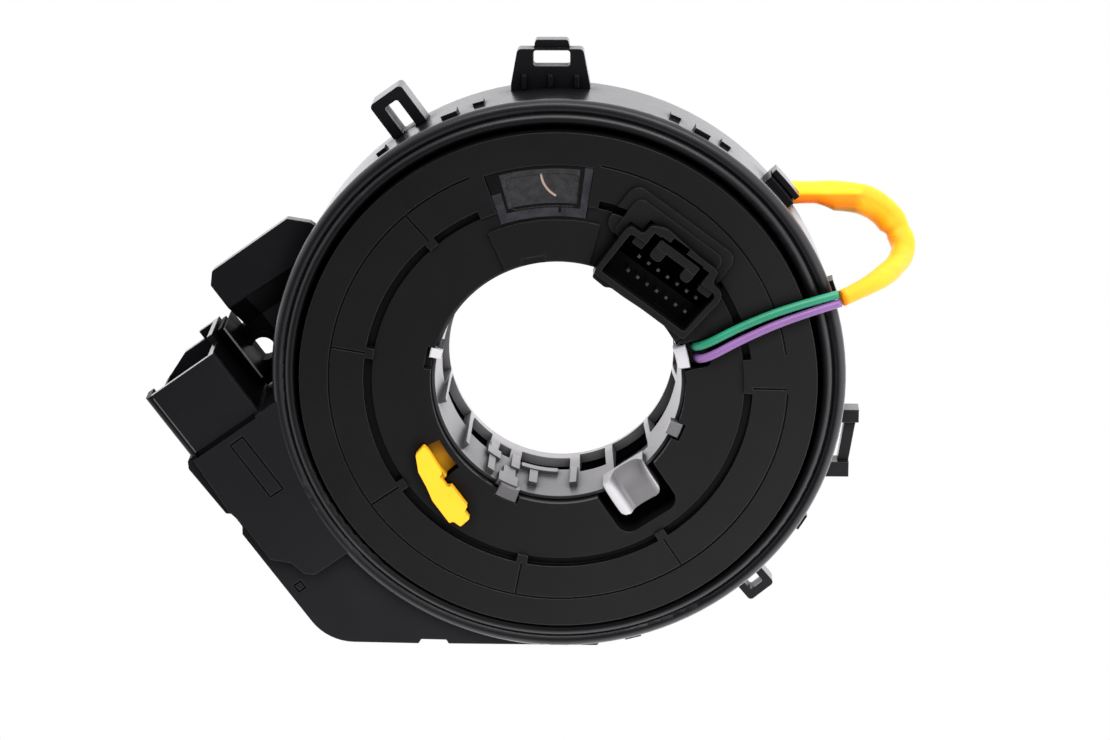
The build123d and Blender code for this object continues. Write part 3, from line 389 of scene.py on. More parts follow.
# %% [markdown]
# ## Pale grey of the hub ring, with painted light and shade
# The ring is one pale plastic, but its foot looks bright and its wall darker towards the top, and
# darker still on the side that faces away from the light. Light alone could give this, but its fall in
# a narrow bore is hard to steer. So this light and shade are painted: paleness is a ramp over height,
# dimmed by Y. What lies behind the windows is painted shade: past the wall's radius the finish turns
# black up to a height.

# %% Hub grey
# painted light and shade: the ramps of paleness over height end at HUB_TOP
HUB_TOP = 26.0 * MM  # height where the ramps of paleness end
BEHIND_R, BEHIND_Z = 26.6 * MM, 16.2 * MM  # past this radius and under this height lies a window's dark


def hub_grey_and_painted_shade(name, shares, reach, away):
    """Grey with painted light and shade by height, painted shade on the far side by a share per metre, and
    painted shade, black, behind the windows.
    """
    t = Finish(name)
    fine = t.noise(1800.0, 2.0, 0.6)
    x, y, z = t.axes()
    # painted light and shade: paleness by height
    painted_paleness = t.ramp(t.maths("DIVIDE", z, HUB_TOP), [(at, (share,) * 3) for at, share in shares])
    tint = t.ramp(t.noise(60.0, 4.0, 0.55, 0.6), [(0.3, (0.94, 0.92, 0.96)), (0.7, (1.0, 0.98, 1.0))])
    painted_far_shade = t.add("ShaderNodeVectorMath", p_operation="SCALE")
    t.feed(painted_far_shade.inputs[0], t.mix(1.0, painted_paleness, tint, "MULTIPLY"))
    # painted shade: dimmer on the far side, by Y
    t.feed(painted_far_shade.inputs["Scale"], t.maths("MINIMUM", t.maths("ADD", t.maths("MULTIPLY", y, away), 1.0), 1.0))
    t.set(Base_Color=painted_far_shade.outputs[0], Roughness=t.span(fine, 0.34, 0.46))
    t.set(Normal=t.bump(fine, 0.4, 0.00002, t.soft_edges(0.0002)))
    # painted shade: black behind the windows, past BEHIND_R and under BEHIND_Z
    t.shade_hollows(reach, t.both(t.above(t.distance(x, y), BEHIND_R), t.below(z, BEHIND_Z)))
    return t.material


# painted light and shade: paleness at each height
WALL_SHARES = (  # share of HUB_TOP, paleness there
    (0.0, 0.30), (0.13, 0.30), (0.2, 0.2), (0.45, 0.13), (0.8, 0.08), (0.87, 0.07), (0.9, 0.055),
    (1.0, 0.14),
)
FORK_SHARES = ((0.0, 0.14), (0.72, 0.13), (0.84, 0.15), (0.88, 0.20), (0.94, 0.44), (1.0, 0.5))
# HUB and FORK_GREY are one pale plastic with different painted light and shade
HUB = hub_grey_and_painted_shade("hub_grey_and_painted_shade", WALL_SHARES, 0.004, 15.0)
FORK_GREY = hub_grey_and_painted_shade("fork_grey", FORK_SHARES, 0.003, 0.0)
print("hub finishes:", HUB.name, FORK_GREY.name)

# %% [markdown]
# ## Pins and films
# The pins are plated and drawn, so they are metal with fine lines. The slip films and the flat ribbon
# are thin plastic films, hardly seen, and a slightly cloudy Principled shader is enough for them.

# %% Pins and films
def plated():
    """Plated contact metal with fine drawing lines."""
    t = Finish("plated_pin")
    lines = t.noise(1500.0, 2.0, 0.5)
    t.set(Base_Color=t.ramp(lines, [(0.3, (0.11, 0.09, 0.075)), (0.7, (0.17, 0.145, 0.125))]))
    t.set(Metallic=1.0, Roughness=t.span(lines, 0.2, 0.38), Normal=t.soft_edges(0.00012))
    return t.material


def film(name, colour, alpha):
    """Thin plastic film, slightly cloudy."""
    t = Finish(name)
    cloud = t.noise(120.0, 3.0, 0.5)
    t.set(Base_Color=t.ramp(cloud, [(0.2, tuple(c * 0.9 for c in colour)), (0.8, colour)]))
    t.set(Roughness=t.span(cloud, 0.25, 0.4), Alpha=alpha)
    return t.material


PIN = plated()
FILM = film("slip_film", (0.05, 0.05, 0.06), 0.3)
RIBBON = film("ribbon_film", (0.55, 0.55, 0.53), 1.0)
print("pin and film finishes:", PIN.name, FILM.name, RIBBON.name)

# %% [markdown]
# ## Window
# A clear window over a dark chamber looks like dark glass: its sunken pane is grained, a strip of its
# border is paler, and a curved line of light runs through the pane. A see-through shader would show the
# plain drum below, so the finish is opaque and paints these zones, each between two radii and two angles
# round the rotor's axis: the chamber's dark is painted shade and the line of light a painted highlight.
# The line of light is an arc of a small circle of its own.

# %% Window finish
PANE_R, PANE_A = (39.9 * MM, 47.4 * MM), (radians(84.0), radians(104.7))  # the sunken pane
STRIP_R, STRIP_A = 39.0 * MM, radians(82.8)  # the strip lies inside this radius or before this angle
CORNER_R, CORNER_A = 43.6 * MM, radians(105.6)  # a corner of it lies inside this radius past this angle
NOTCH_R, NOTCH_A = 37.9 * MM, (radians(88.6), radians(89.5))  # and it is broken between these angles
GLINT_X, GLINT_Y, GLINT_R = 0.00254, 0.04663, 0.00580  # circle that the line of light follows, in metres
GLINT_A, GLINT_HALF = (-3.073, -2.051), 0.00025  # its angles in radians, and half its width


def clear_lens():
    """Clear window plastic over a dark chamber, painted zone by zone: edge, border strip, pane, line of
    light; the chamber's dark is painted shade, the line of light a painted highlight.
    """
    t = Finish("clear_lens")
    x, y, _ = t.axes()
    radius, angle = t.distance(x, y), t.maths("ARCTAN2", y, x)
    pane = t.both(t.between(radius, *PANE_R), t.between(angle, *PANE_A))
    corner = t.both(t.above(angle, CORNER_A), t.below(radius, CORNER_R))
    strip = t.maths("ADD", t.maths("ADD", t.below(radius, STRIP_R), t.below(angle, STRIP_A)), corner)
    notch = t.both(t.between(angle, *NOTCH_A), t.above(radius, NOTCH_R))
    strip = t.both(t.maths("MINIMUM", strip, 1.0), t.maths("SUBTRACT", 1.0, notch))
    off_x, off_y = t.maths("SUBTRACT", x, GLINT_X), t.maths("SUBTRACT", y, GLINT_Y)
    far, turn = t.distance(off_x, off_y), t.maths("ARCTAN2", off_y, off_x)
    painted_glint = t.both(t.between(turn, *GLINT_A), t.between(far, GLINT_R - GLINT_HALF, GLINT_R + GLINT_HALF))
    cloud = t.noise(260.0, 4.0, 0.65)
    strip_grey = t.ramp(cloud, [(0.3, (0.010, 0.010, 0.012)), (0.7, (0.030, 0.030, 0.034))])
    weave = t.noise(700.0, 4.0, 0.8)
    pane_grey = t.ramp(weave, [(0.35, (0.008, 0.008, 0.009)), (0.65, (0.024, 0.023, 0.024))])
    across = t.maths("DIVIDE", far, GLINT_R)
    # painted highlight: colour of the line of light
    warm = t.ramp(across, [(0.965, (0.2, 0.075, 0.03)), (0.99, (0.26, 0.22, 0.19))])
    # painted shade: the near-black of the chamber under the window
    colour = t.mix(strip, (0.0022, 0.0022, 0.0024, 1), strip_grey)
    colour = t.mix(painted_glint, t.mix(pane, colour, pane_grey), warm)
    t.set(Base_Color=colour, Roughness=t.span(pane, 0.22, 0.42), Specular_IOR_Level=0.3)
    grained = t.bump(cloud, 0.15, 0.0002, t.soft_edges(0.00015))
    t.set(Normal=t.bump(t.noise(2100.0, 2.0, 0.6), 0.4, 0.00005, grained))
    return t.material


LENS = clear_lens()
print("window finish:", LENS.name)

# %% [markdown]
# ## Wires and sleeve
# The wires have smooth insulation with faint extrusion marks. The sleeve is soft and pressed flat
# beyond its bend: its upper edge is bright yellow there, its middle orange and its lower edge brownish,
# bands of painted light and shade. Folds in the mesh could make such bands, but they would need many more
# faces. The flat stretch runs along X, so a ramp over Y paints them, and they fade out over X where the
# bend begins, along an uneven line.

# %% Insulation
def insulation(name, dark, light):
    """Wire insulation with faint extrusion marks."""
    t = Finish(name)
    marks = t.noise(700.0, 3.0, 0.6, 1.0)
    t.set(Base_Color=t.ramp(t.noise(90.0, 2.0, 0.5), [(0.3, dark), (0.7, light)]))
    t.set(Roughness=t.span(marks, 0.35, 0.5), Normal=t.bump(marks, 0.15, 0.00004))
    return t.material


GREEN = insulation("green_insulation", (0.004, 0.165, 0.085), (0.008, 0.22, 0.12))
PURPLE = insulation("purple_insulation", (0.17, 0.075, 0.23), (0.21, 0.095, 0.28))

# %% Sleeve finish
BAND_LOW, BAND_HIGH = 31.5 * MM, 38.9 * MM  # Y of the flat stretch's two edges
# painted light and shade of the flattened sleeve's folds, from its lower edge to its upper
FOLD_LIGHT_BANDS = (
    (0.0, (0.75, 0.50, 0.16)), (0.16, (0.42, 0.20, 0.02)), (0.3, (0.70, 0.24, 0.004)),
    (0.36, (0.95, 0.20, 0.001)), (0.64, (1.0, 0.22, 0.001)), (0.72, (1.0, 0.5, 0.01)),
)
BEND_START, BEND_FULL = 63.5 * MM, 65.5 * MM  # X between which the bands fade
BAND_FROM_Y = 30.5 * MM


def sleeve_yellow():
    """Soft sleeve: creased yellow, with bands of painted light and shade along its flat stretch."""
    t = Finish("sleeve_yellow")
    crease = t.noise(150.0, 4.0, 0.55, 0.8)
    weave = t.noise(1600.0, 2.0, 0.5)
    x, y, _ = t.axes()
    plain = t.ramp(crease, [(0.3, (0.94, 0.30, 0.002)), (0.7, (1.0, 0.37, 0.005))])
    # painted light and shade: the bands over Y
    painted_fold_light = t.ramp(t.span(y, 0.0, 1.0, BAND_LOW, BAND_HIGH), FOLD_LIGHT_BANDS)
    uneven_x = t.maths("ADD", x, t.span(crease, -0.001, 0.001))
    flat = t.both(t.span(uneven_x, 0.0, 1.0, BEND_FULL, BEND_START), t.above(y, BAND_FROM_Y))
    t.set(Base_Color=t.mix(flat, plain, painted_fold_light))
    t.set(Roughness=t.span(weave, 0.42, 0.6), Specular_IOR_Level=0.25)
    t.set(Normal=t.bump(weave, 0.2, 0.00004, t.bump(crease, 0.35, 0.0005)))
    return t.material


SLEEVE = sleeve_yellow()
print("cord finishes:", GREEN.name, PURPLE.name, SLEEVE.name)

# %% [markdown]
# ## Finishes on the CAD nodes
# A node whose shape is right only needs its finish, which takes the place of the plain one. Its mesh is
# never changed. Nodes that get a new piece below are left out, because the piece brings its own finish.

# %% Assign
NODE_FINISHES = {
    "housing_shell": HOUSING,
    "base_cover": HOUSING,
    "harness_pins": PIN,
    "terminal_carrier": INNER,
    "lower_slip_sheet": FILM,
    "ribbon_cable": RIBBON,
    "rotor_cover": ROTOR,
    "rotor_drum": DRUM_SHADED,
    "window_lens": LENS,
    "socket_pins": PIN,
    "upper_slip_sheet": FILM,
    "wire_grommet": INNER,
    "loop_carrier": NATURAL,
    "loop_roller": NATURAL,
    "lock_key": KEY,
    "squib_plug": PLUG,
    "plug_lock": PLUG,
}
for node, finish in NODE_FINISHES.items():
    mesh = NODES[node].data
    mesh.materials.clear()
    mesh.materials.append(finish)
print("finished nodes:", len(NODE_FINISHES))

# %% [markdown]
# ## Surfaces from rows of points
# The hub ring, the socket and the cords are all the same kind of surface: rows of points, each row a
# closed outline, joined from one row to the next. A prism has two rows, a turned ring one for each
# angle, a tube one for each step of its line. Modelling by hand would do for one of them, but a rule is
# easier to correct. So one helper joins the rows of a whole numpy array, and the rest only computes
# rows.

# %% Skin
def skin(name, rows, closed=False):
    """An object from rows of closed outlines, an array (rows, points, 3) in millimetres. Quads join each
    row to the next, and the last to the first if closed; else each end gets a cap."""
    rows = np.asarray(rows, dtype=float)
    index = np.arange(rows.shape[0] * rows.shape[1]).reshape(rows.shape[:2])
    beside = np.roll(index, -1, axis=1)
    quads = np.stack([index, beside, np.roll(beside, -1, axis=0), np.roll(index, -1, axis=0)], axis=-1)
    faces = [] if closed else [index[0].tolist(), index[-1].tolist()]
    faces += (quads if closed else quads[:-1]).reshape(-1, 4).tolist()
    mesh = bpy.data.meshes.new(name)
    mesh.from_pydata((rows.reshape(-1, 3) * MM).tolist(), [], faces)
    outwards = bmesh.new()
    outwards.from_mesh(mesh)
    bmesh.ops.recalc_face_normals(outwards, faces=outwards.faces)
    outwards.to_mesh(mesh)
    outwards.free()
    obj = bpy.data.objects.new(name, mesh)
    scene.collection.objects.link(obj)
    return obj


def at_height(flat, z):
    """Flat points (x, y) lifted to a height."""
    return np.column_stack([flat, np.full(len(flat), float(z))])


# %% [markdown]
# ### Outlines
# A sector is two arcs. A softened outline replaces each corner by a parabola: at a share f from one
# side to the other, the point is a(1-f)^2 + 2cf(1-f) + bf^2, where c is the corner and a and b lie one
# radius away on its sides.

# %% Outline helpers
def polar(radius, angle):
    """Points at a radius and an angle in degrees; either may be an array."""
    angle = np.radians(angle)
    return np.stack([radius * np.cos(angle), radius * np.sin(angle)], axis=-1)


def sector(r_in, r_out, first, last):
    """Outline of a ring's sector, with a point about every 1.5 degrees."""
    angles = np.linspace(first, last, max(2, int((last - first) / 1.5) + 1) + 1)
    return np.concatenate([polar(r_in, angles), polar(r_out, angles[::-1])])


def oblong(a, b):
    """Outline of a rectangle from two (low, high) pairs."""
    return np.array([(a[0], b[0]), (a[1], b[0]), (a[1], b[1]), (a[0], b[1])], dtype=float)


MOST_OF_SIDE = 0.49  # share of a side that a soft corner may take


def softened(outline, radius, steps=4):
    """The outline with parabolas at its corners: one radius for all, or one for each."""
    radii = np.broadcast_to(radius, len(outline)).tolist()
    points = []
    for i, corner in enumerate(outline):
        c, back, ahead = Vector(corner), Vector(outline[i - 1]), Vector(outline[(i + 1) % len(outline)])
        r = min(radii[i], (back - c).length * MOST_OF_SIDE, (ahead - c).length * MOST_OF_SIDE)
        if r <= 0:
            points.append(tuple(c))
            continue
        a, b = c + (back - c).normalized() * r, c + (ahead - c).normalized() * r
        for k in range(steps + 1):
            f = k / steps
            points.append(tuple(a * (1 - f) ** 2 + c * 2 * f * (1 - f) + b * f * f))
    return np.array(points)


SOCKET_TURN = radians(53.0)


def by_socket(outline):
    """Outline (s along the pin rows, t away from the axis) as x and y: s sin + t cos, t sin - s cos."""
    s, t = np.asarray(outline, dtype=float).T
    c, d = cos(SOCKET_TURN), sin(SOCKET_TURN)
    return np.column_stack([s * d + t * c, -s * c + t * d])


def by_tail(outline):
    """Outline (u along the tail's step, v out of its mouth) as x and y: u cos - v sin, u sin + v cos."""
    u, v = np.asarray(outline, dtype=float).T
    c, d = cos(TAIL_TURN), sin(TAIL_TURN)
    return np.column_stack([u * c - v * d, u * d + v * c])


# %% Prism and turned ring
def prism(flat, low, high, slope=0.0):
    """A flat outline lifted from low to high. With a slope, its top edge is cut back towards the middle."""
    rows = [at_height(flat, low), at_height(flat, high)]
    if slope:
        inward = flat.mean(axis=0) - flat
        inside = flat + inward / np.linalg.norm(inward, axis=1)[:, None] * slope
        rows = [at_height(flat, low), at_height(flat, high - slope), at_height(inside, high)]
    return skin("prism", rows)


def turned(profile, steps=192):
    """A closed ring: each (r, z) of the profile at every angle of a full turn."""
    r, z = np.asarray(profile, dtype=float).T
    angles = np.arange(steps)[:, None] * 360.0 / steps
    heights = np.broadcast_to(z, (steps, len(z)))
    rows = np.concatenate([polar(r[None], angles), heights[..., None]], axis=-1)
    return skin("turned", rows, closed=True)


# %% [markdown]
# ### Cutting and gathering
# Windows and pockets are cut with the Boolean modifier, whose Exact solver copes with faces that touch.
# It is applied at once, so that a piece ends as a plain mesh. Ribs that only stand on a wall need no
# union: a gathered piece holds them as separate shells, each with its own finish. It is shaded smooth,
# with sharp edges by angle.

# %% Combine and gather
SHARP_FROM = radians(28)


def drop(obj):
    """Removes a helper object and its mesh."""
    mesh = obj.data
    bpy.data.objects.remove(obj)
    bpy.data.meshes.remove(mesh)


def combine(body, tool, how):
    """The body with a tool cut away (DIFFERENCE), added (UNION) or kept in common (INTERSECT)."""
    change = body.modifiers.new("combine", "BOOLEAN")
    change.operation = how
    change.object = tool
    change.solver = "EXACT"
    mesh = bpy.data.meshes.new_from_object(body.evaluated_get(bpy.context.evaluated_depsgraph_get()))
    body.modifiers.clear()
    old, body.data = body.data, mesh
    bpy.data.meshes.remove(old)
    drop(tool)
    return body


def gather(name, shells, finishes):
    """One piece from (shell, finish number) pairs."""
    verts, faces, marks = [], [], []
    for shell, mark in shells:
        points = np.empty((len(shell.data.vertices), 3), dtype=np.float32)
        shell.data.vertices.foreach_get("co", points.ravel())
        first = sum(len(part) for part in verts)
        verts.append(points)
        faces += [tuple(first + v for v in polygon.vertices) for polygon in shell.data.polygons]
        marks += [mark] * len(shell.data.polygons)
        drop(shell)
    mesh = bpy.data.meshes.new(name)
    mesh.from_pydata(np.concatenate(verts).tolist(), [], faces)
    for finish in finishes:
        mesh.materials.append(finish)
    mesh.polygons.foreach_set("material_index", marks)
    mesh.polygons.foreach_set("use_smooth", [True] * len(faces))
    mesh.set_sharp_from_angle(angle=SHARP_FROM)
    piece = bpy.data.objects.new(name, mesh)
    scene.collection.objects.link(piece)
    print(name, "has", len(shells), "shells and", len(faces), "faces")
    return piece


# %% [markdown]
# ## Hub ring
# The pale ring is clipped into the rotor from the back. Its wall has a row of windows over its foot,
# ribs and latches between them, hooks at its top, and a fork that stands out into the rotor's pocket.
# The CAD ring has the same bore, height and flange in a plainer form. The wall is a profile turned
# about the axis, which could also be a Screw modifier, but an array gives every point its place. Each
# window is a recess that goes right through only above the flange, so that no light of the sweep leaks
# in from below.

# %% Ring wall and windows
RING_PROFILE = ((24.6, 0.4), (27.05, 0.4), (27.05, 23.0), (26.35, 23.0), (25.85, 13.0), (24.6, 3.6))
RING_FLANGE = ((26.2, 4.4), (30.8, 4.4), (30.8, 6.0), (26.2, 6.0))
WINDOW_IN, WINDOW_BACK, WINDOW_OUT = 22.0, 26.8, 28.0  # radii of a recess and of the opening behind it
OVER_FLANGE = 6.1
WINDOWS = (  # first angle, last angle, low, high
    (20.0, 56.0, 1.5, 12.0), (60.0, 96.0, 1.5, 12.0), (104.0, 140.0, 1.5, 12.0),
    (144.0, 190.8, 1.5, 10.6), (193.6, 216.0, 1.5, 10.0), (218.8, 231.8, 2.6, 10.5),
    (237.2, 243.6, 4.6, 9.0), (249.5, 274.5, 3.6, 9.0), (279.5, 293.0, 1.8, 10.5),
    (297.0, 317.5, 1.5, 15.5), (320.5, 350.0, 1.5, 10.0), (353.0, 368.0, 1.5, 10.0),
)
FORK_GATE = [polar(24.0, 292.6), polar(28.5, 293.2), polar(28.5, 313.8), polar(24.0, 314.4)]

ring_wall = combine(turned(RING_PROFILE), turned(RING_FLANGE), "UNION")
for first, last, low, high in WINDOWS:
    recess = prism(sector(WINDOW_IN, WINDOW_BACK, first, last), low, high)
    through = prism(sector(WINDOW_IN, WINDOW_OUT, first + 0.3, last - 0.3), OVER_FLANGE, high - 0.1)
    ring_wall = combine(combine(ring_wall, recess, "DIFFERENCE"), through, "DIFFERENCE")
ring_wall = combine(ring_wall, prism(np.array(FORK_GATE), 17.8, 30.0), "DIFFERENCE")
print("ring wall faces:", len(ring_wall.data.polygons))

# %% Ribs, latches and hooks
RIB_BACK = 26.7
HOOK_LOW, HOOK_TOP, HOOK_SLOPE = 23.2, 25.7, 0.25
RIBS = (  # first angle, last angle, inner radius, low, high
    (191.0, 193.4, 24.7, 1.4, 21.0), (216.2, 218.6, 24.7, 1.4, 21.0),  # thin ribs between windows
    (232.4, 236.6, 24.9, 4.0, 9.0), (231.0, 238.6, 24.9, 9.0, 13.4),  # rib that is wider in its middle
    (232.6, 236.4, 25.2, 13.4, 22.0),
    (244.8, 249.2, 24.9, 6.4, 14.4),
    (250.2, 268.6, 24.8, 9.6, 11.8), (254.7, 258.9, 25.0, 11.8, 19.6),  # latch: its bar and its upright
    (275.0, 278.4, 24.9, 8.6, 18.4),
    (241.4, 247.8, 25.3, 14.4, 19.0), (239.4, 249.4, 25.3, 19.0, 24.6),  # stepped rib under a hook
    (163.4, 168.0, 25.3, 17.6, 24.4),  # rib under another hook
)
HOOKS = (  # first angle, last angle, inner radius, outer radius, finish number
    (163.4, 168.0, 25.4, 28.0, 1), (241.4, 251.0, 25.6, 28.6, 0), (334.6, 341.3, 25.4, 28.2, 0),
    (7.6, 18.2, 25.7, 28.4, 1),
)
ribs = [(prism(sector(r, RIB_BACK, first, last), low, high), 0) for first, last, r, low, high in RIBS]
hooks = []
for first, last, r_in, r_out, look in HOOKS:
    hooks.append((prism(sector(r_in, r_out, first, last), HOOK_LOW, HOOK_TOP, HOOK_SLOPE), look))
seat_fill = prism(sector(27.2, 28.68, 94.8, 105.2), 24.62, 25.98)  # closes the hook seat that stays empty
print("ribs:", len(ribs), "hooks:", len(hooks))

# %% [markdown]
# ### Drive fork
# The fork is a chute: a thick left wall, a smooth floor that drops towards the bore, and a right side
# that rises out of the floor in one curve. Blocks would give hard steps there. So each row across the
# fork has its height as floor + (top - floor) * rise, where rise runs across the width, and floor and
# top run along the radius. The block is then kept inside its own side view and plan.

# %% Fork
FORK_TURN = radians(303.5)
FORK_HALF, FORK_UNDER = 5.1, 16.0  # half its width, and the underside's height
RISE = (  # place across the fork, share of the wall's height
    (-5.1, 0.86), (-4.9, 0.97), (-4.3, 1.0), (-3.6, 0.97), (-3.2, 0.82), (-2.9, 0.5), (-2.5, 0.2),
    (-1.9, 0.05), (-0.8, 0.0), (1.0, 0.02), (2.4, 0.1), (3.4, 0.25), (4.2, 0.5), (4.7, 0.68), (5.1, 0.72),
)
CHUTE = (  # radius, floor, top
    (24.6, 17.6, 23.6), (25.6, 19.2, 24.8), (26.8, 20.5, 25.2), (28.4, 21.6, 25.4), (30.6, 22.2, 25.4),
    (34.5, 22.4, 25.3),
)
FORK_SIDE = (  # radius and height of the fork seen from its side
    (24.9, 17.0), (26.5, 19.0), (33.4, 20.6), (33.4, 24.7), (32.7, 25.6), (26.6, 25.6), (25.3, 24.8),
    (24.9, 22.6),
)


def drive_fork():
    """The chute inside its side view and a plan with rounded outer corners, turned to its place."""
    across, rise = np.array(RISE).T
    radius, floor, top = np.array(CHUTE).T[..., None]
    heights = np.pad(floor + (top - floor) * rise, ((0, 0), (0, 2)), constant_values=FORK_UNDER)
    across = np.append(across, (FORK_HALF, -FORK_HALF))
    chute = skin("chute", np.stack(np.broadcast_arrays(radius, across, heights), axis=-1))
    r, z = np.array(FORK_SIDE).T
    side = skin("side", [np.column_stack([r, np.full(len(r), w), z]) for w in (-8.0, 8.0)])
    plan = softened(oblong((23.0, 33.5), (-5.2, 5.2)), [0, 3.2, 3.2, 0], 8)
    chute = combine(combine(chute, side, "INTERSECT"), prism(plan, 10, 40), "INTERSECT")
    chute.data.transform(Matrix.Rotation(FORK_TURN, 4, "Z"))
    return chute


ring_shells = [(ring_wall, 0), *ribs, *hooks, (drive_fork(), 1), (seat_fill, 2)]
hub_ring = gather("hub_ring_form", ring_shells, (HUB, FORK_GREY, ROTOR))
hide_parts("hub_ring")
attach(hub_ring, "rotor")

# %% [markdown]
# ## Socket
# The rotor's socket takes a plug from the steering wheel. Its shroud has a stepped outline, two
# polarising ribs, a C-shaped latch between two slots, and a floor that closes it over the hub ring. The
# CAD header stands at the same place with a plainer outline. All walls are straight, so outlines are
# lifted and cut from each other, in the socket's own axes: s along its rows of pins, t away from the
# rotor's axis.

# %% Socket
SOCKET_Z, SOCKET_FLOOR, SOCKET_TOP = 19.8, 21.0, 29.0
OPEN_ABOVE = 32.0  # cuts end above the socket
RING_CLEAR_R, RING_CLEAR_Z = 28.6, 23.3  # room for the hub ring under the socket's hub side
SHROUD = (
    (-9.4, 25.1), (-9.6, 36.7), (-9.1, 38.1), (-6.0, 38.2), (-5.9, 40.6), (-4.5, 41.4), (-2.6, 42.2),
    (6.7, 41.3), (10.6, 41.3), (11.4, 41.0), (11.9, 38.5), (14.9, 37.9), (15.6, 36.2), (14.6, 24.8),
)
CAVITY = ((-8.3, 26.4), (-8.2, 36.6), (-6.9, 36.9), (13.4, 36.9), (14.3, 36.2), (13.6, 26.3))
HUB_SIDE = (
    (-8.9, 24.1), (-5.4, 23.9), (-4.4, 24.6), (-0.7, 24.6), (3.9, 24.8), (8.7, 25.0), (11.2, 24.2),
    (13.7, 23.2), (14.6, 26.6), (-9.4, 26.6),
)
SOCKET_CUTS = (  # outline, low
    (softened(CAVITY, 0.5), SOCKET_FLOOR),
    (softened(oblong((-2.7, 8.4), (36.0, 40.2)), 0.4), SOCKET_FLOOR),  # room behind the latch
    (oblong((-4.3, -2.3), (35.0, 39.9)), 21.6),  # slots beside it
    (oblong((8.0, 10.1), (35.0, 39.9)), 21.6),
    (oblong((-0.4, 3.8), (40.2, 41.5)), 25.5),  # recess in the outer wall
)
SOCKET_SHELLS = (  # outline, low, high
    (softened(oblong((-6.9, -4.3), (35.2, 37.4)), 0.4), 20.5, 28.6),  # polarising ribs
    (softened(oblong((10.2, 13.3), (35.2, 37.4)), 0.4), 20.5, 28.6),
    (softened(oblong((-2.3, 8.0), (37.5, 39.4)), 0.5), 20.5, 28.7),  # latch and its two legs
    (softened(oblong((-2.3, 0.5), (35.0, 38.6)), 1.1), 20.5, 28.6),
    (softened(oblong((5.5, 8.0), (35.0, 38.6)), 1.1), 20.5, 28.6),
    (oblong((-8.8, 14.2), (25.0, 31.2)), 23.4, 24.0),  # floor over the hub ring
)

shroud = prism(by_socket(softened(SHROUD, 0.9)), SOCKET_Z, SOCKET_TOP)
shroud = combine(shroud, prism(by_socket(softened(HUB_SIDE, 0.5)), 23.4, 28.4), "UNION")
for outline, low in SOCKET_CUTS:
    shroud = combine(shroud, prism(by_socket(outline), low, OPEN_ABOVE), "DIFFERENCE")
ring_room = polar(RING_CLEAR_R, np.arange(96) * 360.0 / 96)
shroud = combine(shroud, prism(ring_room, 0.0, RING_CLEAR_Z), "DIFFERENCE")
socket_shells = [(prism(by_socket(outline), low, high), 0) for outline, low, high in SOCKET_SHELLS]
socket_form = gather("socket_form", [(shroud, 0), *socket_shells], (SOCKET,))
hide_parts("socket_header")
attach(socket_form, "rotor")

# %% [markdown]
# ## Thin wall and edge by the connector, with painted highlights
# Between the connector's box and the lug stands a wall of 0.4 mm whose top catches the light, and the
# box's flat top ends in such a line towards its outer slope. A mask on the housing could draw the line,
# but not a wall that stands free. So both are thin prisms that ride the housing. Their light is a painted
# highlight: the wall is pale grey only on its top, the line all over.

# %% Connector's wall and edge
END_WALL, END_WALL_FOOT, END_WALL_LIT, END_WALL_TOP = ((-54.0, -53.6), (35.4, 49.0)), 2.0, 14.8, 15.0
BOX_EDGE, BOX_EDGE_Z = ((-73.85, -73.6), (31.6, 46.6)), (22.3, 22.46)

wall_line = by_tail(oblong(*END_WALL))
wall_body = prism(wall_line, END_WALL_FOOT, END_WALL_LIT)
# painted highlight: the wall's top and the box's edge line are pale grey
wall_shells = [(wall_body, 0), (prism(wall_line, END_WALL_LIT, END_WALL_TOP), 1)]
end_wall = gather("connector_end_wall", wall_shells, (HOUSING, EDGE_HIGHLIGHT))
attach(end_wall, "housing")
box_line = gather("box_edge_highlight", [(prism(by_tail(oblong(*BOX_EDGE)), *BOX_EDGE_Z), 0)], (EDGE_HIGHLIGHT,))
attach(box_line, "housing")

# %% [markdown]
# ## Routes of the cords
# Two wires come up from a block under the rotor's face and enter the sleeve, which goes over the rim's
# edge and back under the drum to its plug. The CAD has them as plain tubes. A curve with a bevel would
# do for round wires, but not for a sleeve that changes its width. So a NURBS spline, which bends evenly
# between its control points, is read back as points, and the tube and its length both follow this one
# line.

# %% Routes
GREEN_ROUTE = (
    (28.9, 8.0, 22.4), (28.9, 8.0, 25.0), (31.9, 9.6, 27.0), (38.6, 13.4, 27.2), (49.0, 17.8, 27.2),
    (59.25, 20.39, 26.2),
)
PURPLE_ROUTE = (
    (29.6, 5.4, 22.4), (29.6, 5.4, 25.0), (32.4, 6.7, 27.0), (38.8, 10.5, 27.2), (49.2, 15.4, 27.2),
    (59.86, 18.57, 26.2),
)
SLEEVE_ROUTE = (
    (60.0, 19.6, 26.2), (66.6, 21.6, 22.6), (71.8, 22.4, 13.0), (74.4, 24.6, 5.2), (72.8, 30.2, 2.8),
    (67.4, 35.0, 2.7), (60.6, 36.6, 2.9), (53.0, 36.2, 3.2), (44.6, 36.4, 3.4), (37.0, 36.4, 3.4),
)


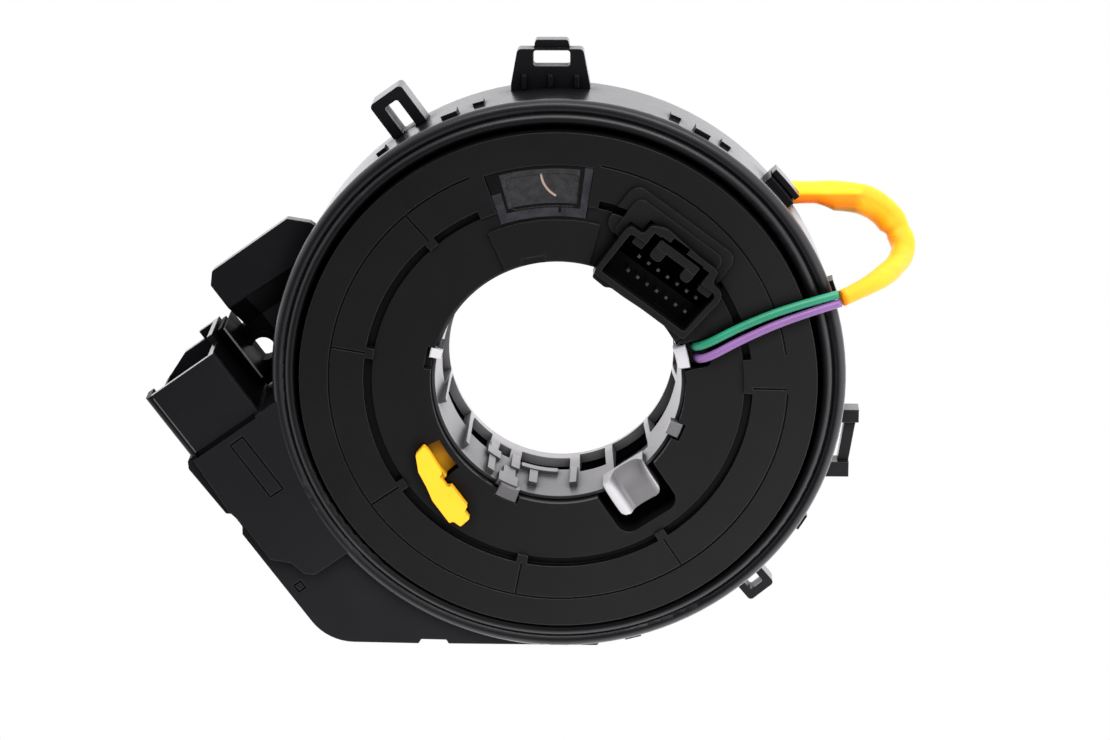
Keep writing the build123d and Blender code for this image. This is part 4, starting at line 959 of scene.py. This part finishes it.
def smooth_line(route, resolution=24):
    """Points of the smooth line that a route's control points shape, as an array in metres."""
    data = bpy.data.curves.new("route", "CURVE")
    data.dimensions = "3D"
    spline = data.splines.new("NURBS")
    spline.points.add(len(route) - 1)
    weighted = np.column_stack([np.array(route) * MM, np.ones(len(route))])
    spline.points.foreach_set("co", weighted.ravel())
    spline.order_u = 3
    spline.use_endpoint_u = True
    spline.resolution_u = resolution
    curve = bpy.data.objects.new("route", data)
    scene.collection.objects.link(curve)
    mesh = bpy.data.meshes.new_from_object(curve)
    points = np.empty((len(mesh.vertices), 3), dtype=np.float32)
    mesh.vertices.foreach_get("co", points.ravel())
    bpy.data.objects.remove(curve)
    bpy.data.meshes.remove(mesh)
    return points.astype(float)


def line_length(line):
    """Sum of the distances from point to point."""
    return float(np.linalg.norm(np.diff(line, axis=0), axis=1).sum())


# %% [markdown]
# ### Tube along a line
# Each row is a ring round the line: point + (side cos a + other sin a) * radius. One side direction is
# carried from row to row, with what points along the line taken out each time, so that the tube doesn't
# twist. The other is square to it and to the line.

# %% Tube
def tube(name, line, radius, finish, sides=20):
    """A closed tube; radius(share, angle, point, outward) gives its size in metres for whole rows."""
    along = np.concatenate([line[1:], line[-1:]]) - np.concatenate([line[:1], line[:-1]])
    along /= np.linalg.norm(along, axis=1)[:, None]
    side = np.empty_like(line)
    carried = np.array(Vector(along[0]).orthogonal().normalized())
    for i, direction in enumerate(along):
        carried = carried - direction * carried.dot(direction)
        carried /= np.linalg.norm(carried)
        side[i] = carried
    other = np.cross(along, side)
    angle = (2 * pi * np.arange(sides) / sides)[None]
    outward = side[:, None] * np.cos(angle)[..., None] + other[:, None] * np.sin(angle)[..., None]
    share = np.linspace(0, 1, len(line))[:, None]
    size = np.broadcast_to(radius(share, angle, line[:, None], outward), outward.shape[:2])
    obj = skin(name, (line[:, None] + outward * size[..., None]) / MM)
    obj.data.materials.append(finish)
    is_side = [len(polygon.vertices) == 4 for polygon in obj.data.polygons]
    obj.data.polygons.foreach_set("use_smooth", is_side)
    return obj


# %% [markdown]
# ## The two wires
# Each wire starts on the rotor and ends in the sleeve's mouth, which stays with the housing. A chain of
# bones could bend it; here it is a plain tube along its line, attached to neither body.

# %% Wires
WIRE_R = 0.9 * MM
for name, route, finish, node in (
    ("green_lead", GREEN_ROUTE, GREEN, "green_wire"),
    ("purple_lead", PURPLE_ROUTE, PURPLE, "purple_wire"),
):
    line = smooth_line(route)
    lead = tube(name, line, lambda *place: WIRE_R, finish)
    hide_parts(node)
    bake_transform(lead)
    print(name, "length:", round(line_length(line), 4), "m")

# %% [markdown]
# ## The sleeve
# A soft sleeve isn't a round tube: its mouth is narrow, it is pinched in its bend, and beyond it is
# pressed wide on the bend's inner side. A cloth simulation could fold it, but not to a chosen form. So
# the radius is a product of soft waves, a narrow mouth and a pinch, each a function of the share along
# the line, plus a spread that grows with how far a direction points to the bend's middle.

# %% Sleeve
SLEEVE_R, SPREAD = 2.45 * MM, 1.75 * MM
BEND_MIDDLE = np.array((62.0, 28.5, 3.0)) * MM
FREE_X, FREE_SHARE = (55.0 * MM, 59.0 * MM), (0.30, 0.44)  # the spread grows from none to all over both
MOUTH_NARROW, MOUTH_SHARE = 0.72, 0.16  # size at the mouth, and the share along where it is full
PINCH, PINCH_AT, PINCH_HALF = 0.16, 0.40, 0.035  # depth, place and half width along the line
SWELL, SWELL_AT, SWELL_HALF = 0.07, 0.33, 0.05  # and of the swelling before it


def tent(share, middle, half):
    """1 at the middle, falling evenly to 0 at half its width on both sides."""
    return np.maximum(0.0, 1 - abs(share - middle) / half)


def sleeve_size(share, angle, point, outward):
    """Radius: soft waves * narrow mouth * pinch, plus the spread on the bend's inner side."""
    soft = 1 + 0.04 * np.sin(share * 41.0) * np.cos(angle * 2) + 0.03 * np.sin(share * 23.0 + angle)
    mouth = MOUTH_NARROW + (1 - MOUTH_NARROW) * np.minimum(1.0, share / MOUTH_SHARE)
    pinch = 1 - PINCH * tent(share, PINCH_AT, PINCH_HALF) + SWELL * tent(share, SWELL_AT, SWELL_HALF)
    inward = BEND_MIDDLE - point
    inward = (inward / np.linalg.norm(inward, axis=-1)[..., None] * outward).sum(axis=-1)
    free = np.interp(point[..., 0], FREE_X, (0, 1)) * np.interp(share, FREE_SHARE, (0, 1))
    return SLEEVE_R * soft * mouth * pinch + SPREAD * np.maximum(0.0, inward) ** 1.3 * free


sleeve_line = smooth_line(SLEEVE_ROUTE, 16)
sleeve = tube("yellow_sleeve", sleeve_line, sleeve_size, SLEEVE, sides=28)
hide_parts("wire_sleeve")
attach(sleeve, "housing")
print("sleeve length:", round(line_length(sleeve_line), 4), "m")
